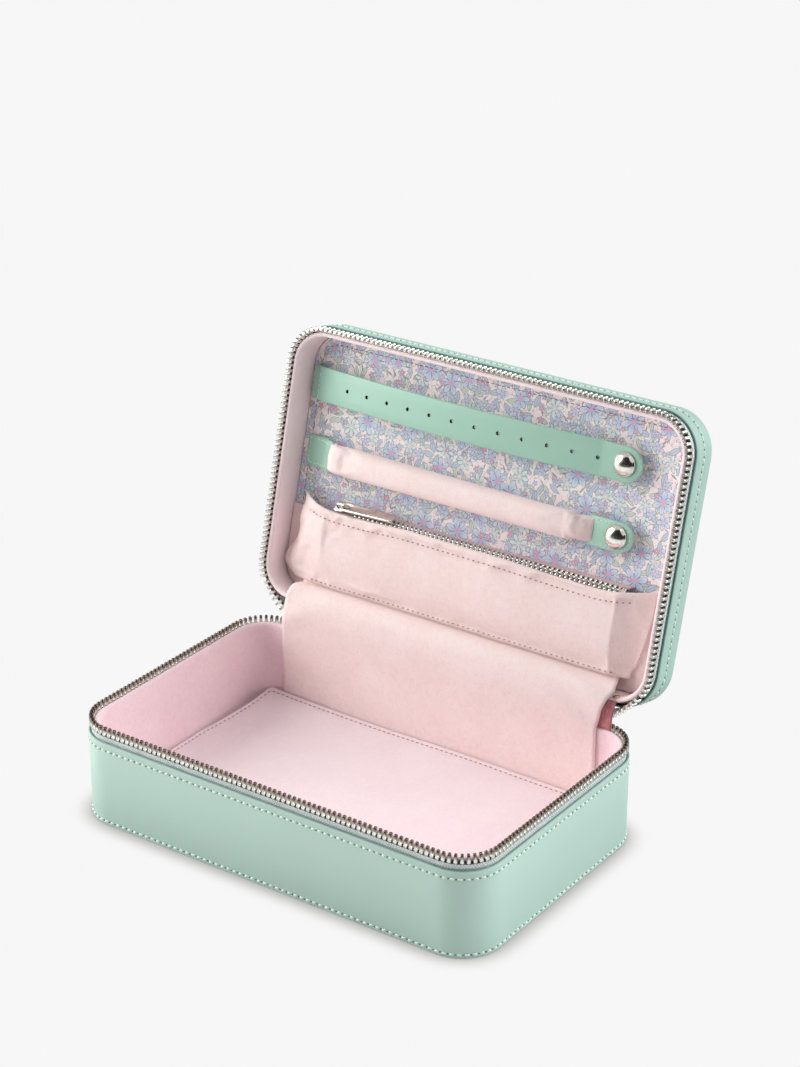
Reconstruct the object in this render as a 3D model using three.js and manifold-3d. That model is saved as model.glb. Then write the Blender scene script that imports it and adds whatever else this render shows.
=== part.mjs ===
// A zip-around jewellery case with its lid open: leatherette shell, suedette lining, metal zip,
// earring strap, ring roll and zipped pocket. Millimetres, +Z up, X along the long side, +Y to the hinge.
// The origin is the middle of the case's flat bottom.
import * as THREE from 'three';
import { mergeVertices } from 'three/addons/utils/BufferGeometryUtils.js';
import Module from 'manifold-3d';

const wasm = await Module();
wasm.setup();

// Driving dimensions of the case
const caseLength = 215;
const caseDepth = 134;
const cornerRadius = 19;
const baseCoverHeight = 42;
const lidCoverHeight = 14;
const zipBandHeight = 11.2;
const lidOpenDegrees = 104.7;
const hingeBehind = 2.3;
const hingeAboveSplit = 5.1;
const fitGap = 0.3;
const cutOverrun = 2;

// Layers of the walls and of the two faces, from the outside in
const coverThickness = 1;
const coverEdgeRound = 0.6;
const tapeThickness = 0.5;
const boardThickness = 1.5;
const liningThickness = 1.1;
const faceLiningThickness = 1;
const boardAboveEdge = 0.5;
const lipBelowSplit = 1;
const lipRound = 0.7;

// The metal chain round the rim
const toothPitch = 2.65;
const toothClearance = 0.375;
const toothRowThickness = 2.3;
const toothRowReach = 2.6;
const toothRootHeight = 0.9;
const toothTipPastSplit = 1.4;
const tapeInsideCover = 6;

// The lid's chain leaves the rim part of the way round each rear corner
const lidChainTurnDegrees = 35;
const chainEndLift = 3.1;
const chainEndSlopeShare = 0.4;
const chainEndLeanDegrees = 60;

// What closes the chain behind the hinge lining
const stopFromCorner = 5.5;
const stopLength = 5;
const stopThickness = 3.4;
const stopHeight = 7.4;
const sliderFromCorner = 12.5;
const sliderLength = 10;
const sliderWidth = 8.6;
const sliderPlateThickness = 0.6;
const sliderPostLength = 1.6;
const sliderPostHeight = 0.9;
const sliderTravel = 3.5;
const bailLength = 7;
const bailHeight = 3.2;
const bailWire = 0.9;
const bailWidth = 1.6;
const pullLength = 29.5;
const pullWidth = 4.6;
const pullThickness = 1.3;
const pullWindowWidth = 2.4;
const pullWindowLength = 4.4;
const pullBar = 1.4;

// The floor pad
const floorPadThickness = 3;
const floorPadCrown = 0.7;
const floorPadEdgeRound = 0.9;
const floorPadSideGap = 0.6;
const floorPadBackGap = 0.9;
const floorPadRearLift = 4.8;
const floorPadRearLiftLength = 46;
const floorPadRearNarrowing = 5;

// The soft hinge
const spineThickness = 1;
const hingeLiningThickness = 0.8;
const hingeLiningFromCorner = 1.5;
const spineClear = 1.5;

// The earring strap
const strapWidth = 16;
const strapThickness = 1.6;
const strapFromFront = 23.9;
const strapFromSide = 2.5;
const strapSnapFromSide = 31;
const strapEndPastSnap = 8.6;
const strapBow = 8.4;
const strapSeatLeft = 0.6;
const strapHoleCount = 12;
const strapHoleDiameter = 1.8;
const strapFirstHole = 22.9;
const strapLastHole = 13.7;

// The snaps
const snapDiameter = 11;
const snapDome = 2.6;
const snapBaseDiameter = 9;
const snapBaseThickness = 0.8;
const snapPostDiameter = 4;
const snapPostHeight = 2.2;
const snapSocketHeight = 2;

// The ring roll
const rollFromStrap = 32.3;
const rollWidth = 13.4;
const rollThickness = 11.6;
const rollLeftFromSide = 17.9;
const rollRightFromSide = 41.3;
const rollPinch = 2.4;
const rollPinchLength = 9;
const rollTabThickness = 1.5;
const rollTabHeight = 14.6;
const rollLeftTabLength = 13.6;
const rollRightTabLength = 20.2;
const rollSnapPastRoll = 12;

// The zipped pocket
const pocketSideClear = 5.5;
const pocketZipFromRoll = 22.6;
const pocketZipHeight = 6.6;
const pocketTilt = 45;
const pocketToothPitch = 2.5;
const pocketToothRowThickness = 2;
const pocketToothRowReach = 2.2;
const pocketToothSlit = 1;
const pocketZipLeftFromSide = 38.5;
const pocketZipRightFromSide = 21.5;
const pocketSliderPastTeeth = 5;
const pocketLowerTapeWidth = 1.4;
const pocketCloth = 1.2;
const pocketSeamFromRear = 7;
const pocketSeamHeight = 6.4;
const pocketBulge = 11.6;
const pocketSideRise = 2.2;
const rivetDiameter = 2.5;
const rivetTurnDegrees = 80;

// Counts
const cornerSteps = 8;
const roundSides = 24;

// What follows from the driving dimensions
const splitHeight = baseCoverHeight + zipBandHeight / 2;
const closedHeight = baseCoverHeight + zipBandHeight + lidCoverHeight;
const hingeY = caseDepth / 2 + hingeBehind;
const hingeZ = splitHeight + hingeAboveSplit;
const openAngle = THREE.MathUtils.degToRad(lidOpenDegrees);
const tapeInset = coverThickness + fitGap + tapeThickness / 2;
const boardInset = coverThickness + fitGap + tapeThickness + fitGap;
const liningInset = boardInset + boardThickness + fitGap;
const wallThickness = liningInset + liningThickness;
const boardTop = coverThickness + fitGap + boardThickness;
const faceLiningTop = boardTop + fitGap + faceLiningThickness;
const panelZ = closedHeight - faceLiningTop;
const toothWidth = toothPitch / 2 - toothClearance;
const snapSeat = fitGap + snapBaseThickness + snapPostHeight + fitGap;
const straightHalfX = caseLength / 2 - cornerRadius;
const straightHalfY = caseDepth / 2 - cornerRadius;
const rimArc = (cornerRadius * Math.PI) / 2;
const rearCornerStart = straightHalfX + rimArc + 2 * straightHalfY;
const lidChainReach = rearCornerStart + cornerRadius * THREE.MathUtils.degToRad(lidChainTurnDegrees);
const pocketAngle = THREE.MathUtils.degToRad(pocketTilt);
const pocketTapeStart = pocketToothRowReach + fitGap;
const pocketTapeWidth = (pocketZipHeight - fitGap) / Math.cos(pocketAngle) - pocketTapeStart - tapeThickness;
const innerHalfX = caseLength / 2 - wallThickness;
const innerHalfY = caseDepth / 2 - wallThickness;
const stopCentreX = straightHalfX - stopFromCorner;
const sliderCentreX = sliderFromCorner - straightHalfX;
const hingeLiningHalfWidth = straightHalfX - hingeLiningFromCorner;
const strapLeftX = strapFromSide - innerHalfX;
const strapSnapX = innerHalfX - strapSnapFromSide;
const strapCentreY = strapFromFront - innerHalfY;
const rollLeftX = rollLeftFromSide - innerHalfX;
const rollRightX = innerHalfX - rollRightFromSide;
const rollCentreY = strapCentreY + rollFromStrap;
const pocketHalfWidth = innerHalfX - pocketSideClear;
const pocketZipLeftX = pocketZipLeftFromSide - innerHalfX;
const pocketZipRightX = innerHalfX - pocketZipRightFromSide;
const pocketSliderX = pocketZipLeftX - pocketSliderPastTeeth;
const pocketZipY = rollCentreY + pocketZipFromRoll;
const pocketSeamY = innerHalfY - pocketSeamFromRear;
const sliderTail = sliderCentreX + sliderLength / 2;
const stopFace = stopCentreX + stopLength / 2 + fitGap;

// Finishes
const finishes = {
  leatherette: { color: 0xb4d5c8, roughness: 0.5, metalness: 0 },
  board: { color: 0xc8b89a, roughness: 0.95, metalness: 0 },
  suedette: { color: 0xe8ccce, roughness: 0.95, metalness: 0 },
  print: { color: 0xc3c4d6, roughness: 0.85, metalness: 0 },
  tape: { color: 0xbfd3cb, roughness: 0.9, metalness: 0 },
  nickel: { color: 0xb9b8b4, roughness: 0.28, metalness: 1 },
  brass: { color: 0xb49a5c, roughness: 0.35, metalness: 1 },
};

function named(name, geometry, finish) {
  const mesh = new THREE.Mesh(geometry, new THREE.MeshStandardMaterial(finishes[finish]));
  mesh.name = name;
  return mesh;
}

// A closed surface from vertices and triangles, turned so that its faces point out
function closedGeometry(points, triangles) {
  let volume = 0;
  for (const [a, b, c] of triangles) {
    volume += points[a].dot(new THREE.Vector3().crossVectors(points[b], points[c]));
  }
  const outward = volume < 0 ? triangles.map(([a, b, c]) => [a, c, b]) : triangles;
  const geometry = new THREE.BufferGeometry();
  geometry.setAttribute('position', new THREE.Float32BufferAttribute(points.flatMap((p) => p.toArray()), 3));
  geometry.setIndex(outward.flat());
  return geometry;
}

// The same surface without empty triangles and with its faces turned out
function outwardFaces(geometry) {
  const position = geometry.attributes.position;
  const points = [];
  for (let i = 0; i < position.count; i += 1) {
    points.push(new THREE.Vector3().fromBufferAttribute(position, i));
  }
  const index = Array.from(geometry.index.array);
  const triangles = [];
  for (let i = 0; i < index.length; i += 3) {
    const [a, b, c] = index.slice(i, i + 3);
    if (a !== b && b !== c && c !== a) triangles.push([a, b, c]);
  }
  return closedGeometry(points, triangles);
}

// Joins rings of equal count into one skin, closed on itself or with a cap at each end
function loft(rings, closed) {
  const count = rings[0].length;
  const points = rings.flat();
  const triangles = [];
  const last = closed ? rings.length : rings.length - 1;
  for (let i = 0; i < last; i += 1) {
    const here = i * count;
    const next = ((i + 1) % rings.length) * count;
    for (let j = 0; j < count; j += 1) {
      const k = (j + 1) % count;
      triangles.push([here + j, here + k, next + k], [here + j, next + k, next + j]);
    }
  }
  if (!closed) {
    const end = (rings.length - 1) * count;
    for (let j = 1; j < count - 1; j += 1) {
      triangles.push([0, j + 1, j], [end, end + j, end + j + 1]);
    }
  }
  return closedGeometry(points, triangles);
}

function toSolid(geometry) {
  const bare = geometry.clone();
  bare.deleteAttribute('normal');
  bare.deleteAttribute('uv');
  const merged = mergeVertices(bare);
  return new wasm.Manifold(new wasm.Mesh({
    numProp: 3,
    vertProperties: new Float32Array(merged.attributes.position.array),
    triVerts: new Uint32Array(merged.index.array),
  }));
}

function fromSolid(solid) {
  const mesh = solid.getMesh();
  const geometry = new THREE.BufferGeometry();
  geometry.setAttribute('position', new THREE.Float32BufferAttribute(Array.from(mesh.vertProperties), 3));
  geometry.setIndex(Array.from(mesh.triVerts));
  return geometry;
}

// A flat shape given thickness along Z from one height to another
function plate(shape, bottom, top) {
  const options = { depth: top - bottom, bevelEnabled: false, curveSegments: cornerSteps };
  const geometry = new THREE.ExtrudeGeometry(shape, options);
  geometry.translate(0, 0, bottom);
  return mergeVertices(stripped(geometry));
}

function stripped(geometry) {
  geometry.deleteAttribute('normal');
  geometry.deleteAttribute('uv');
  return geometry;
}

function box(x, y, z, length, depth, height) {
  const geometry = new THREE.BoxGeometry(length, depth, height);
  geometry.translate(x, y, z);
  return mergeVertices(stripped(geometry));
}

// Points of the case's outline at an inset, with the outward direction at each
function caseOutline(inset) {
  const points = [];
  const corners = [[1, 1], [-1, 1], [-1, -1], [1, -1]];
  corners.forEach(([sideX, sideY], corner) => {
    for (let i = 0; i <= cornerSteps; i += 1) {
      const angle = ((corner + i / cornerSteps) * Math.PI) / 2;
      const x = sideX * straightHalfX + (cornerRadius - inset) * Math.cos(angle);
      const y = sideY * straightHalfY + (cornerRadius - inset) * Math.sin(angle);
      points.push({ x, y, outX: Math.cos(angle), outY: Math.sin(angle) });
    }
  });
  return points;
}

// A band round the case whose section is a list of insets and heights
function wallBand(section) {
  const outline = caseOutline(0);
  const rings = outline.map((p) => section.map(
    ([inset, height]) => new THREE.Vector3(p.x - p.outX * inset, p.y - p.outY * inset, height),
  ));
  return loft(rings, true);
}

// A rounded plate that fills the case's outline at an inset
function facePlate(inset, bottom, top) {
  const shape = new THREE.Shape(caseOutline(inset).map((p) => new THREE.Vector2(p.x, p.y)));
  return plate(shape, bottom, top);
}

// A point on the rim at a distance along it, counted both ways from the middle of the front
function rimFrame(distance, inset) {
  const way = distance < 0 ? -1 : 1;
  const radius = cornerRadius - inset;
  const place = (x, y, outX, outY) => ({ x: way * x, y, outX: way * outX, outY });
  const turn = (angle, centreY) => place(
    straightHalfX + radius * Math.cos(angle),
    centreY + radius * Math.sin(angle),
    Math.cos(angle),
    Math.sin(angle),
  );
  let left = Math.abs(distance);
  if (left <= straightHalfX) return place(left, inset - caseDepth / 2, 0, -1);
  left -= straightHalfX;
  if (left <= rimArc) return turn(left / cornerRadius - Math.PI / 2, -straightHalfY);
  left -= rimArc;
  if (left <= 2 * straightHalfY) return place(caseLength / 2 - inset, left - straightHalfY, 1, 0);
  left -= 2 * straightHalfY;
  if (left <= rimArc) return turn(left / cornerRadius, straightHalfY);
  left -= rimArc;
  return place(straightHalfX - left, caseDepth / 2 - inset, 0, 1);
}

// The distance along the rim of a point of the rear wall
function rimDistance(x) {
  const half = rearCornerStart + rimArc + straightHalfX - Math.abs(x);
  return x < 0 ? -half : half;
}

// A row of square teeth on one root strip. frameAt gives the place, the side way and the way of the tips
function toothRow(frameAt, places, width, thickness, root, tip) {
  const points = [];
  const triangles = [];
  const column = (distance, heights) => {
    const { origin, side, way } = frameAt(distance);
    const start = points.length;
    for (const height of heights) {
      for (const half of [-thickness / 2, thickness / 2]) {
        points.push(origin.clone().addScaledVector(side, half).addScaledVector(way, height));
      }
    }
    return start;
  };
  const quad = (a, b, c, d) => triangles.push([a, b, c], [a, c, d]);
  const columns = places.map((place) => [
    column(place - width / 2, [root[0], root[1], tip]),
    column(place + width / 2, [root[1], tip]),
  ]);
  const lastRight = column(places[places.length - 1] + width / 2, [root[0]]);
  columns.forEach(([left, right], i) => {
    const next = i < columns.length - 1 ? columns[i + 1][0] : null;
    const bottom = next === null ? lastRight : next;
    // Front and back of the root strip, each one piece from this tooth to the next
    triangles.push([left, bottom, right], [left, right, left + 2]);
    triangles.push([left + 1, right + 1, bottom + 1], [left + 1, left + 3, right + 1]);
    if (next !== null) {
      triangles.push([right, bottom, next + 2], [right + 1, next + 3, bottom + 1]);
      quad(right, next + 2, next + 3, right + 1);
    }
    // The tooth
    quad(left + 2, right, right + 2, left + 4);
    quad(left + 3, left + 5, right + 3, right + 1);
    quad(left + 4, right + 2, right + 3, left + 5);
    quad(left + 2, left + 4, left + 5, left + 3);
    quad(right, right + 1, right + 3, right + 2);
    // The underside
    quad(left, left + 1, bottom + 1, bottom);
  });
  const first = columns[0][0];
  const lastTop = columns[columns.length - 1][1];
  quad(first, first + 2, first + 3, first + 1);
  quad(lastTop, lastRight, lastRight + 1, lastTop + 1);
  return closedGeometry(points, triangles);
}

// One half of the shell. Heights count from its outer face; place turns them into the closed case's Z
function shellHalf(prefix, coverHeight, place, chain, faceNames, faceFinish) {
  const split = coverHeight + zipBandHeight / 2;
  const raise = (section) => section.map(([inset, height]) => [inset, place(height)]);
  const cover = wallBand(raise([
    [coverThickness, 0], [coverEdgeRound, 0], [0, coverEdgeRound],
    [0, coverHeight - coverEdgeRound / 2], [coverEdgeRound / 2, coverHeight], [coverThickness, coverHeight],
  ]));
  const boardBottom = coverThickness + fitGap;
  const boardEdge = coverHeight + boardAboveEdge;
  const board = wallBand(raise([
    [boardInset, boardBottom], [boardInset, boardEdge],
    [boardInset + boardThickness, boardEdge], [boardInset + boardThickness, boardBottom],
  ]));
  const liningBottom = boardTop + fitGap;
  const lip = split - lipBelowSplit;
  const lining = wallBand(raise([
    [liningInset, liningBottom],
    [liningInset, lip - lipRound],
    [liningInset + lipRound / 3, lip - lipRound / 4],
    [liningInset + lipRound, lip], [wallThickness, lip - lipRound], [wallThickness, liningBottom],
  ]));
  const between = (inset, low, high) => {
    const ends = [place(low), place(high)].sort((a, b) => a - b);
    return facePlate(inset, ends[0], ends[1]);
  };
  const tapeEnds = [coverHeight - tapeInsideCover, split - toothRowReach - fitGap].map(place);
  const tape = loft(rimStops(chain).map((distance) => {
    const outer = rimFrame(distance, tapeInset - tapeThickness / 2);
    const inner = rimFrame(distance, tapeInset + tapeThickness / 2);
    return [
      new THREE.Vector3(outer.x, outer.y, tapeEnds[0]), new THREE.Vector3(outer.x, outer.y, tapeEnds[1]),
      new THREE.Vector3(inner.x, inner.y, tapeEnds[1]), new THREE.Vector3(inner.x, inner.y, tapeEnds[0]),
    ];
  }), false);
  const upward = Math.sign(place(1) - place(0));
  const frameAt = (distance) => {
    const p = rimFrame(distance, tapeInset);
    return {
      origin: new THREE.Vector3(p.x, p.y, splitHeight),
      side: new THREE.Vector3(p.outX, p.outY, 0),
      way: new THREE.Vector3(0, 0, upward),
    };
  };
  const teeth = toothRow(
    frameAt, toothPlaces(chain), toothWidth, toothRowThickness,
    [-toothRowReach, toothRootHeight - toothRowReach], toothTipPastSplit,
  );
  return [
    named(`${prefix}_wall_cover`, cover, 'leatherette'),
    named(faceNames[0], between(coverThickness + fitGap, 0, coverThickness), 'leatherette'),
    named(`${prefix}_wall_board`, board, 'board'),
    named(`${prefix}_face_board`, between(liningInset, boardBottom, boardTop), 'board'),
    named(`${prefix}_wall_lining`, lining, 'suedette'),
    named(faceNames[1], between(wallThickness + fitGap, liningBottom, faceLiningTop), faceFinish),
    named(`${prefix}_zip_tape`, tape, 'tape'),
    named(`${prefix}_zip_teeth`, teeth, 'nickel'),
  ];
}

// Where a chain's sections stand: its ends, and steps round each corner
function rimStops({ from, to }) {
  const stops = [];
  for (const start of [straightHalfX, rearCornerStart]) {
    for (let i = 0; i <= cornerSteps; i += 1) {
      stops.push(start + (rimArc * i) / cornerSteps);
    }
  }
  const left = stops.map((stop) => -stop).reverse();
  const inside = [...left, ...stops].filter((stop) => stop > from && stop < to);
  return [from, ...inside, to];
}

// The middles of a row's teeth, counted from the front so that the two rows stay half a pitch apart
function toothPlaces({ from, to, shift }) {
  const first = Math.ceil(from / toothPitch + 1 / 2 - shift);
  const last = Math.floor(to / toothPitch - 1 / 2 - shift);
  return Array.from({ length: last - first + 1 }, (_, i) => (first + i + shift) * toothPitch);
}

// A sheet of one thickness whose section runs through points in the Y and Z plane
function foldedSheet(line, thickness, leftX, rightX) {
  const path = line.map(([y, z]) => new THREE.Vector3(0, y, z));
  const curve = new THREE.CatmullRomCurve3(path, false, 'centripetal');
  const steps = 3 * (line.length - 1);
  const faces = [-1, 1].map((sideWay) => Array.from({ length: steps + 1 }, (_, i) => {
    const point = curve.getPoint(i / steps);
    const along = curve.getTangent(i / steps);
    const offset = (sideWay * thickness) / 2;
    return [point.y - along.z * offset, point.z + along.y * offset];
  }));
  const section = [...faces[0], ...faces[1].reverse()];
  const shape = new THREE.Shape(section.map(([y, z]) => new THREE.Vector2(y, z)));
  const geometry = new THREE.ExtrudeGeometry(shape, { depth: rightX - leftX, bevelEnabled: false });
  const turn = new THREE.Matrix4().set(0, 0, 1, leftX, 1, 0, 0, 0, 0, 1, 0, 0, 0, 0, 0, 1);
  geometry.applyMatrix4(turn);
  return mergeVertices(stripped(geometry));
}

// Where a point of the closed lid lies once the lid is open, as Y and Z
function opened(y, z) {
  const awayY = y - hingeY;
  const awayZ = z - hingeZ;
  return [
    hingeY + awayY * Math.cos(openAngle) + awayZ * Math.sin(openAngle),
    hingeZ - awayY * Math.sin(openAngle) + awayZ * Math.cos(openAngle),
  ];
}

function hingeSpine() {
  const wallMiddle = caseDepth / 2 - coverThickness / 2;
  const lidEdge = closedHeight - lidCoverHeight;
  const foot = [wallMiddle, baseCoverHeight + fitGap];
  const head = opened(wallMiddle, lidEdge - fitGap);
  const beforeHead = opened(wallMiddle, lidEdge - fitGap - spineThickness);
  const rise = head[1] - foot[1];
  const line = [
    foot,
    [wallMiddle, foot[1] + rise * spineRiseShares[0]],
    [wallMiddle + spineThickness / 2, foot[1] + rise * spineRiseShares[1]],
    beforeHead,
    head,
  ];
  const left = sliderTail + spineClear;
  const right = stopCentreX - stopLength / 2 - spineClear;
  return named('hinge_spine', foldedSheet(line, spineThickness, left, right), 'leatherette');
}
const spineRiseShares = [0.45, 0.8];

// The lining climbs the rear wall, leans over both lips and ends under the pocket's hem
function hingeLining() {
  const climb = innerHalfY - fitGap - hingeLiningThickness / 2;
  const lipEnd = opened(innerHalfY, splitHeight + lipBelowSplit);
  const hem = opened(pocketSeamY, panelZ - pocketSeamHeight);
  const bottom = faceLiningTop + fitGap + hingeLiningThickness / 2;
  const line = [
    [climb, bottom],
    [climb, baseCoverHeight],
    [climb, splitHeight + lipRound],
    [(climb + lipEnd[0]) / 2 - liningLeanAway, (splitHeight + lipEnd[1]) / 2 + liningLeanAway],
    [lipEnd[0] - liningLeanAway, lipEnd[1] + liningLeanAway],
    [(lipEnd[0] + hem[0]) / 2 - liningLeanAway, hem[1] - liningHemDrop / 4],
    [hem[0] - liningLeanAway, hem[1] - liningHemDrop],
  ];
  const sheet = foldedSheet(line, hingeLiningThickness, -hingeLiningHalfWidth, hingeLiningHalfWidth);
  return named('hinge_lining', sheet, 'suedette');
}
const liningLeanAway = 2;
const liningHemDrop = 1;

// A zip slider in its own frame: chain along X, its outer face towards +Y, and its bail on top
function sliderGeometry(halfGap, postZ, width) {
  const plateMiddle = halfGap + sliderPlateThickness / 2;
  const outline = new THREE.Shape();
  const nose = sliderLength / 2;
  const half = width / 2;
  outline.moveTo(nose, half * sliderTailShare);
  outline.lineTo(-nose + half * sliderNoseShare, half);
  outline.lineTo(-nose, half * sliderNoseShare);
  outline.lineTo(-nose, -half * sliderNoseShare);
  outline.lineTo(-nose + half * sliderNoseShare, -half);
  outline.lineTo(nose, -half * sliderTailShare);
  const sole = plate(outline, -sliderPlateThickness / 2, sliderPlateThickness / 2);
  sole.rotateX(-Math.PI / 2);
  const over = sole.clone().translate(0, plateMiddle, 0);
  const under = sole.clone().translate(0, -plateMiddle, 0);
  const post = box(
    -nose + sliderPostLength / 2, 0, postZ, sliderPostLength, 2 * plateMiddle, sliderPostHeight,
  );
  const top = halfGap + sliderPlateThickness;
  const arch = new THREE.Shape();
  const reach = bailLength / 2;
  arch.moveTo(-reach, -sliderPlateThickness / 2);
  arch.lineTo(-reach, bailHeight - bailWire);
  arch.lineTo(-reach + bailWire, bailHeight);
  arch.lineTo(reach - bailWire, bailHeight);
  arch.lineTo(reach, bailHeight - bailWire);
  arch.lineTo(reach, -sliderPlateThickness / 2);
  arch.lineTo(reach - bailWire, -sliderPlateThickness / 2);
  arch.lineTo(reach - bailWire, bailHeight - bailWire);
  arch.lineTo(-reach + bailWire, bailHeight - bailWire);
  arch.lineTo(-reach + bailWire, -sliderPlateThickness / 2);
  const bail = plate(arch, -bailWidth / 2, bailWidth / 2);
  bail.translate(0, top, 0);
  const joined = toSolid(over).add(toSolid(under)).add(toSolid(post)).add(toSolid(bail));
  return fromSolid(joined);
}
const sliderTailShare = 0.62;
const sliderNoseShare = 0.7;

// The height above the slider's middle at which the pull's bar lies in its bail
function pullSeat(halfGap) {
  return halfGap + sliderPlateThickness + (bailHeight - bailWire) / 2;
}

// A pull with a window for the bail; its bar turns on its own middle and it points along +X
function pullGeometry() {
  const half = pullWidth / 2;
  const tip = pullLength - pullBar / 2;
  const shape = new THREE.Shape();
  shape.moveTo(-pullBar / 2, -half * pullNeckShare);
  shape.lineTo(pullWindowLength, -half * pullNeckShare);
  shape.lineTo(pullWindowLength + half, -half);
  shape.lineTo(tip - half, -half);
  shape.absarc(tip - half, 0, half, -Math.PI / 2, Math.PI / 2, false);
  shape.lineTo(pullWindowLength + half, half);
  shape.lineTo(pullWindowLength, half * pullNeckShare);
  shape.lineTo(-pullBar / 2, half * pullNeckShare);
  const hole = new THREE.Path();
  const side = pullWindowWidth / 2;
  hole.moveTo(pullBar / 2, -side);
  hole.lineTo(pullBar / 2, side);
  hole.lineTo(pullBar / 2 + pullWindowLength, side);
  hole.lineTo(pullBar / 2 + pullWindowLength, -side);
  shape.holes.push(hole);
  const tab = plate(shape, -pullThickness / 2, pullThickness / 2);
  tab.rotateX(-Math.PI / 2);
  return tab;
}
const pullNeckShare = 0.82;

function mainSlider() {
  const halfGap = toothRowThickness / 2 + fitGap;
  const postZ = toothTipPastSplit + fitGap + sliderPostHeight / 2;
  const group = new THREE.Group();
  const slider = named('main_slider', sliderGeometry(halfGap, postZ, sliderWidth), 'nickel');
  const pull = named('main_pull', pullGeometry(), 'nickel');
  pull.position.set(0, pullSeat(halfGap), 0);
  group.add(slider, pull);
  group.position.set(sliderCentreX, caseDepth / 2 - tapeInset, splitHeight);
  return group;
}

function endStop() {
  const y = caseDepth / 2 - tapeInset;
  const stop = box(stopCentreX, y, splitHeight, stopLength, stopThickness, stopHeight);
  return named('zip_end_stop', stop, 'nickel');
}

// The last teeth of the lid's chain, bent down from the open lid to the closed end of the chain
function lidChainEnd(name, way, endX) {
  const rim = rimFrame(way * (lidChainReach + fitGap), tapeInset);
  const [startY, startZ] = opened(rim.y, splitHeight);
  const start = new THREE.Vector3(rim.x, startY, startZ);
  const leave = new THREE.Vector3(
    -way * rim.outY, way * rim.outX * Math.cos(openAngle), -way * rim.outX * Math.sin(openAngle),
  );
  const end = new THREE.Vector3(endX, caseDepth / 2 - tapeInset, splitHeight + chainEndLift);
  const arrive = new THREE.Vector3(-way, 0, -chainEndSlopeShare).normalize();
  const third = start.distanceTo(end) / 3;
  const curve = new THREE.CubicBezierCurve3(
    start, start.clone().addScaledVector(leave, third), end.clone().addScaledVector(arrive, -third), end,
  );
  const lean = THREE.MathUtils.degToRad(chainEndLeanDegrees);
  const startWay = new THREE.Vector3(0, -Math.sin(openAngle), -Math.cos(openAngle));
  const endWay = new THREE.Vector3(0, -Math.sin(lean), -Math.cos(lean));
  const span = curve.getLength();
  const frameAt = (distance) => {
    const share = distance / span;
    const along = curve.getTangentAt(share);
    const tips = startWay.clone().lerp(endWay, share);
    tips.addScaledVector(along, -tips.dot(along)).normalize();
    const side = new THREE.Vector3().crossVectors(along, tips).normalize();
    return { origin: curve.getPointAt(share), side, way: tips };
  };
  const count = Math.floor(span / toothPitch);
  const places = Array.from({ length: count }, (_, i) => ((i + 1 / 2) * span) / count);
  const row = toothRow(
    frameAt, places, toothWidth, toothRowThickness,
    [-toothRowReach, toothRootHeight - toothRowReach], toothTipPastSplit,
  );
  return named(name, row, 'nickel');
}

// A padded board with rolled edges and a swelling top, whose rear part narrows and curls up
function floorPad() {
  const halfX = innerHalfX - floorPadSideGap;
  const halfY = innerHalfY - floorPadSideGap - floorPadBackGap / 2;
  const liftFrom = halfY - floorPadRearLiftLength;
  const rows = padRows(halfX, halfY, cornerRadius - wallThickness);
  const sections = rows.map(([y, halfWidth]) => {
    const share = Math.max(0, (y - liftFrom) / floorPadRearLiftLength);
    const width = halfWidth - floorPadRearNarrowing * share;
    const lift = floorPadRearLift * share ** 2;
    const swell = floorPadCrown * (1 - (y / halfY) ** 4);
    return padSection(width, swell).map(([x, z]) => new THREE.Vector3(x, y - floorPadBackGap / 2, z + lift));
  });
  return named('floor_pad', loft(sections, false), 'suedette');
}

// The places along Y of the pad's sections, each with its half width
function padRows(halfX, halfY, radius) {
  const rows = [];
  const straight = halfY - radius;
  for (let i = 0; i <= cornerSteps; i += 1) {
    const angle = (i / cornerSteps - 1) * (Math.PI / 2);
    rows.push([radius * Math.sin(angle) - straight, halfX - radius + radius * Math.cos(angle)]);
  }
  for (let i = 1; i < padStraightSteps; i += 1) {
    rows.push([straight * ((2 * i) / padStraightSteps - 1), halfX]);
  }
  const rear = rows.slice(0, cornerSteps + 1).reverse().map(([y, width]) => [-y, width]);
  return rows.concat(rear);
}
const padStraightSteps = 8;

// One section of the pad as a closed line of X and Z
function padSection(width, swell) {
  const bottom = faceLiningTop + fitGap;
  const top = bottom + floorPadThickness;
  const round = floorPadEdgeRound;
  const left = [
    [round / 2 - width, bottom],
    [-width, bottom + round / 2],
    [-width, top - round],
    [round / 2 - width, top - round / 4],
  ];
  const crown = padCrownShares.map((share) => [width * share, top + swell * (1 - share ** 4)]);
  const right = left.map(([x, z]) => [-x, z]).reverse();
  return [...left, ...crown, ...right];
}
const padCrownShares = [-0.93, -0.7, -0.35, 0, 0.35, 0.7, 0.93];

// Height of the strap's underside above the panel: a bow that ends flat on the snap
function strapUnderside(x) {
  const arch = (share) => strapBow * 4 * share * (1 - share);
  const share = Math.min((x - strapLeftX) / (strapSnapX - strapLeftX), strapFlatShare);
  const rise = snapSeat + fitGap - strapSeatLeft - arch(strapFlatShare);
  return strapSeatLeft + arch(share) + (rise * share) / strapFlatShare;
}
const strapFlatShare = 0.93;

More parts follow.
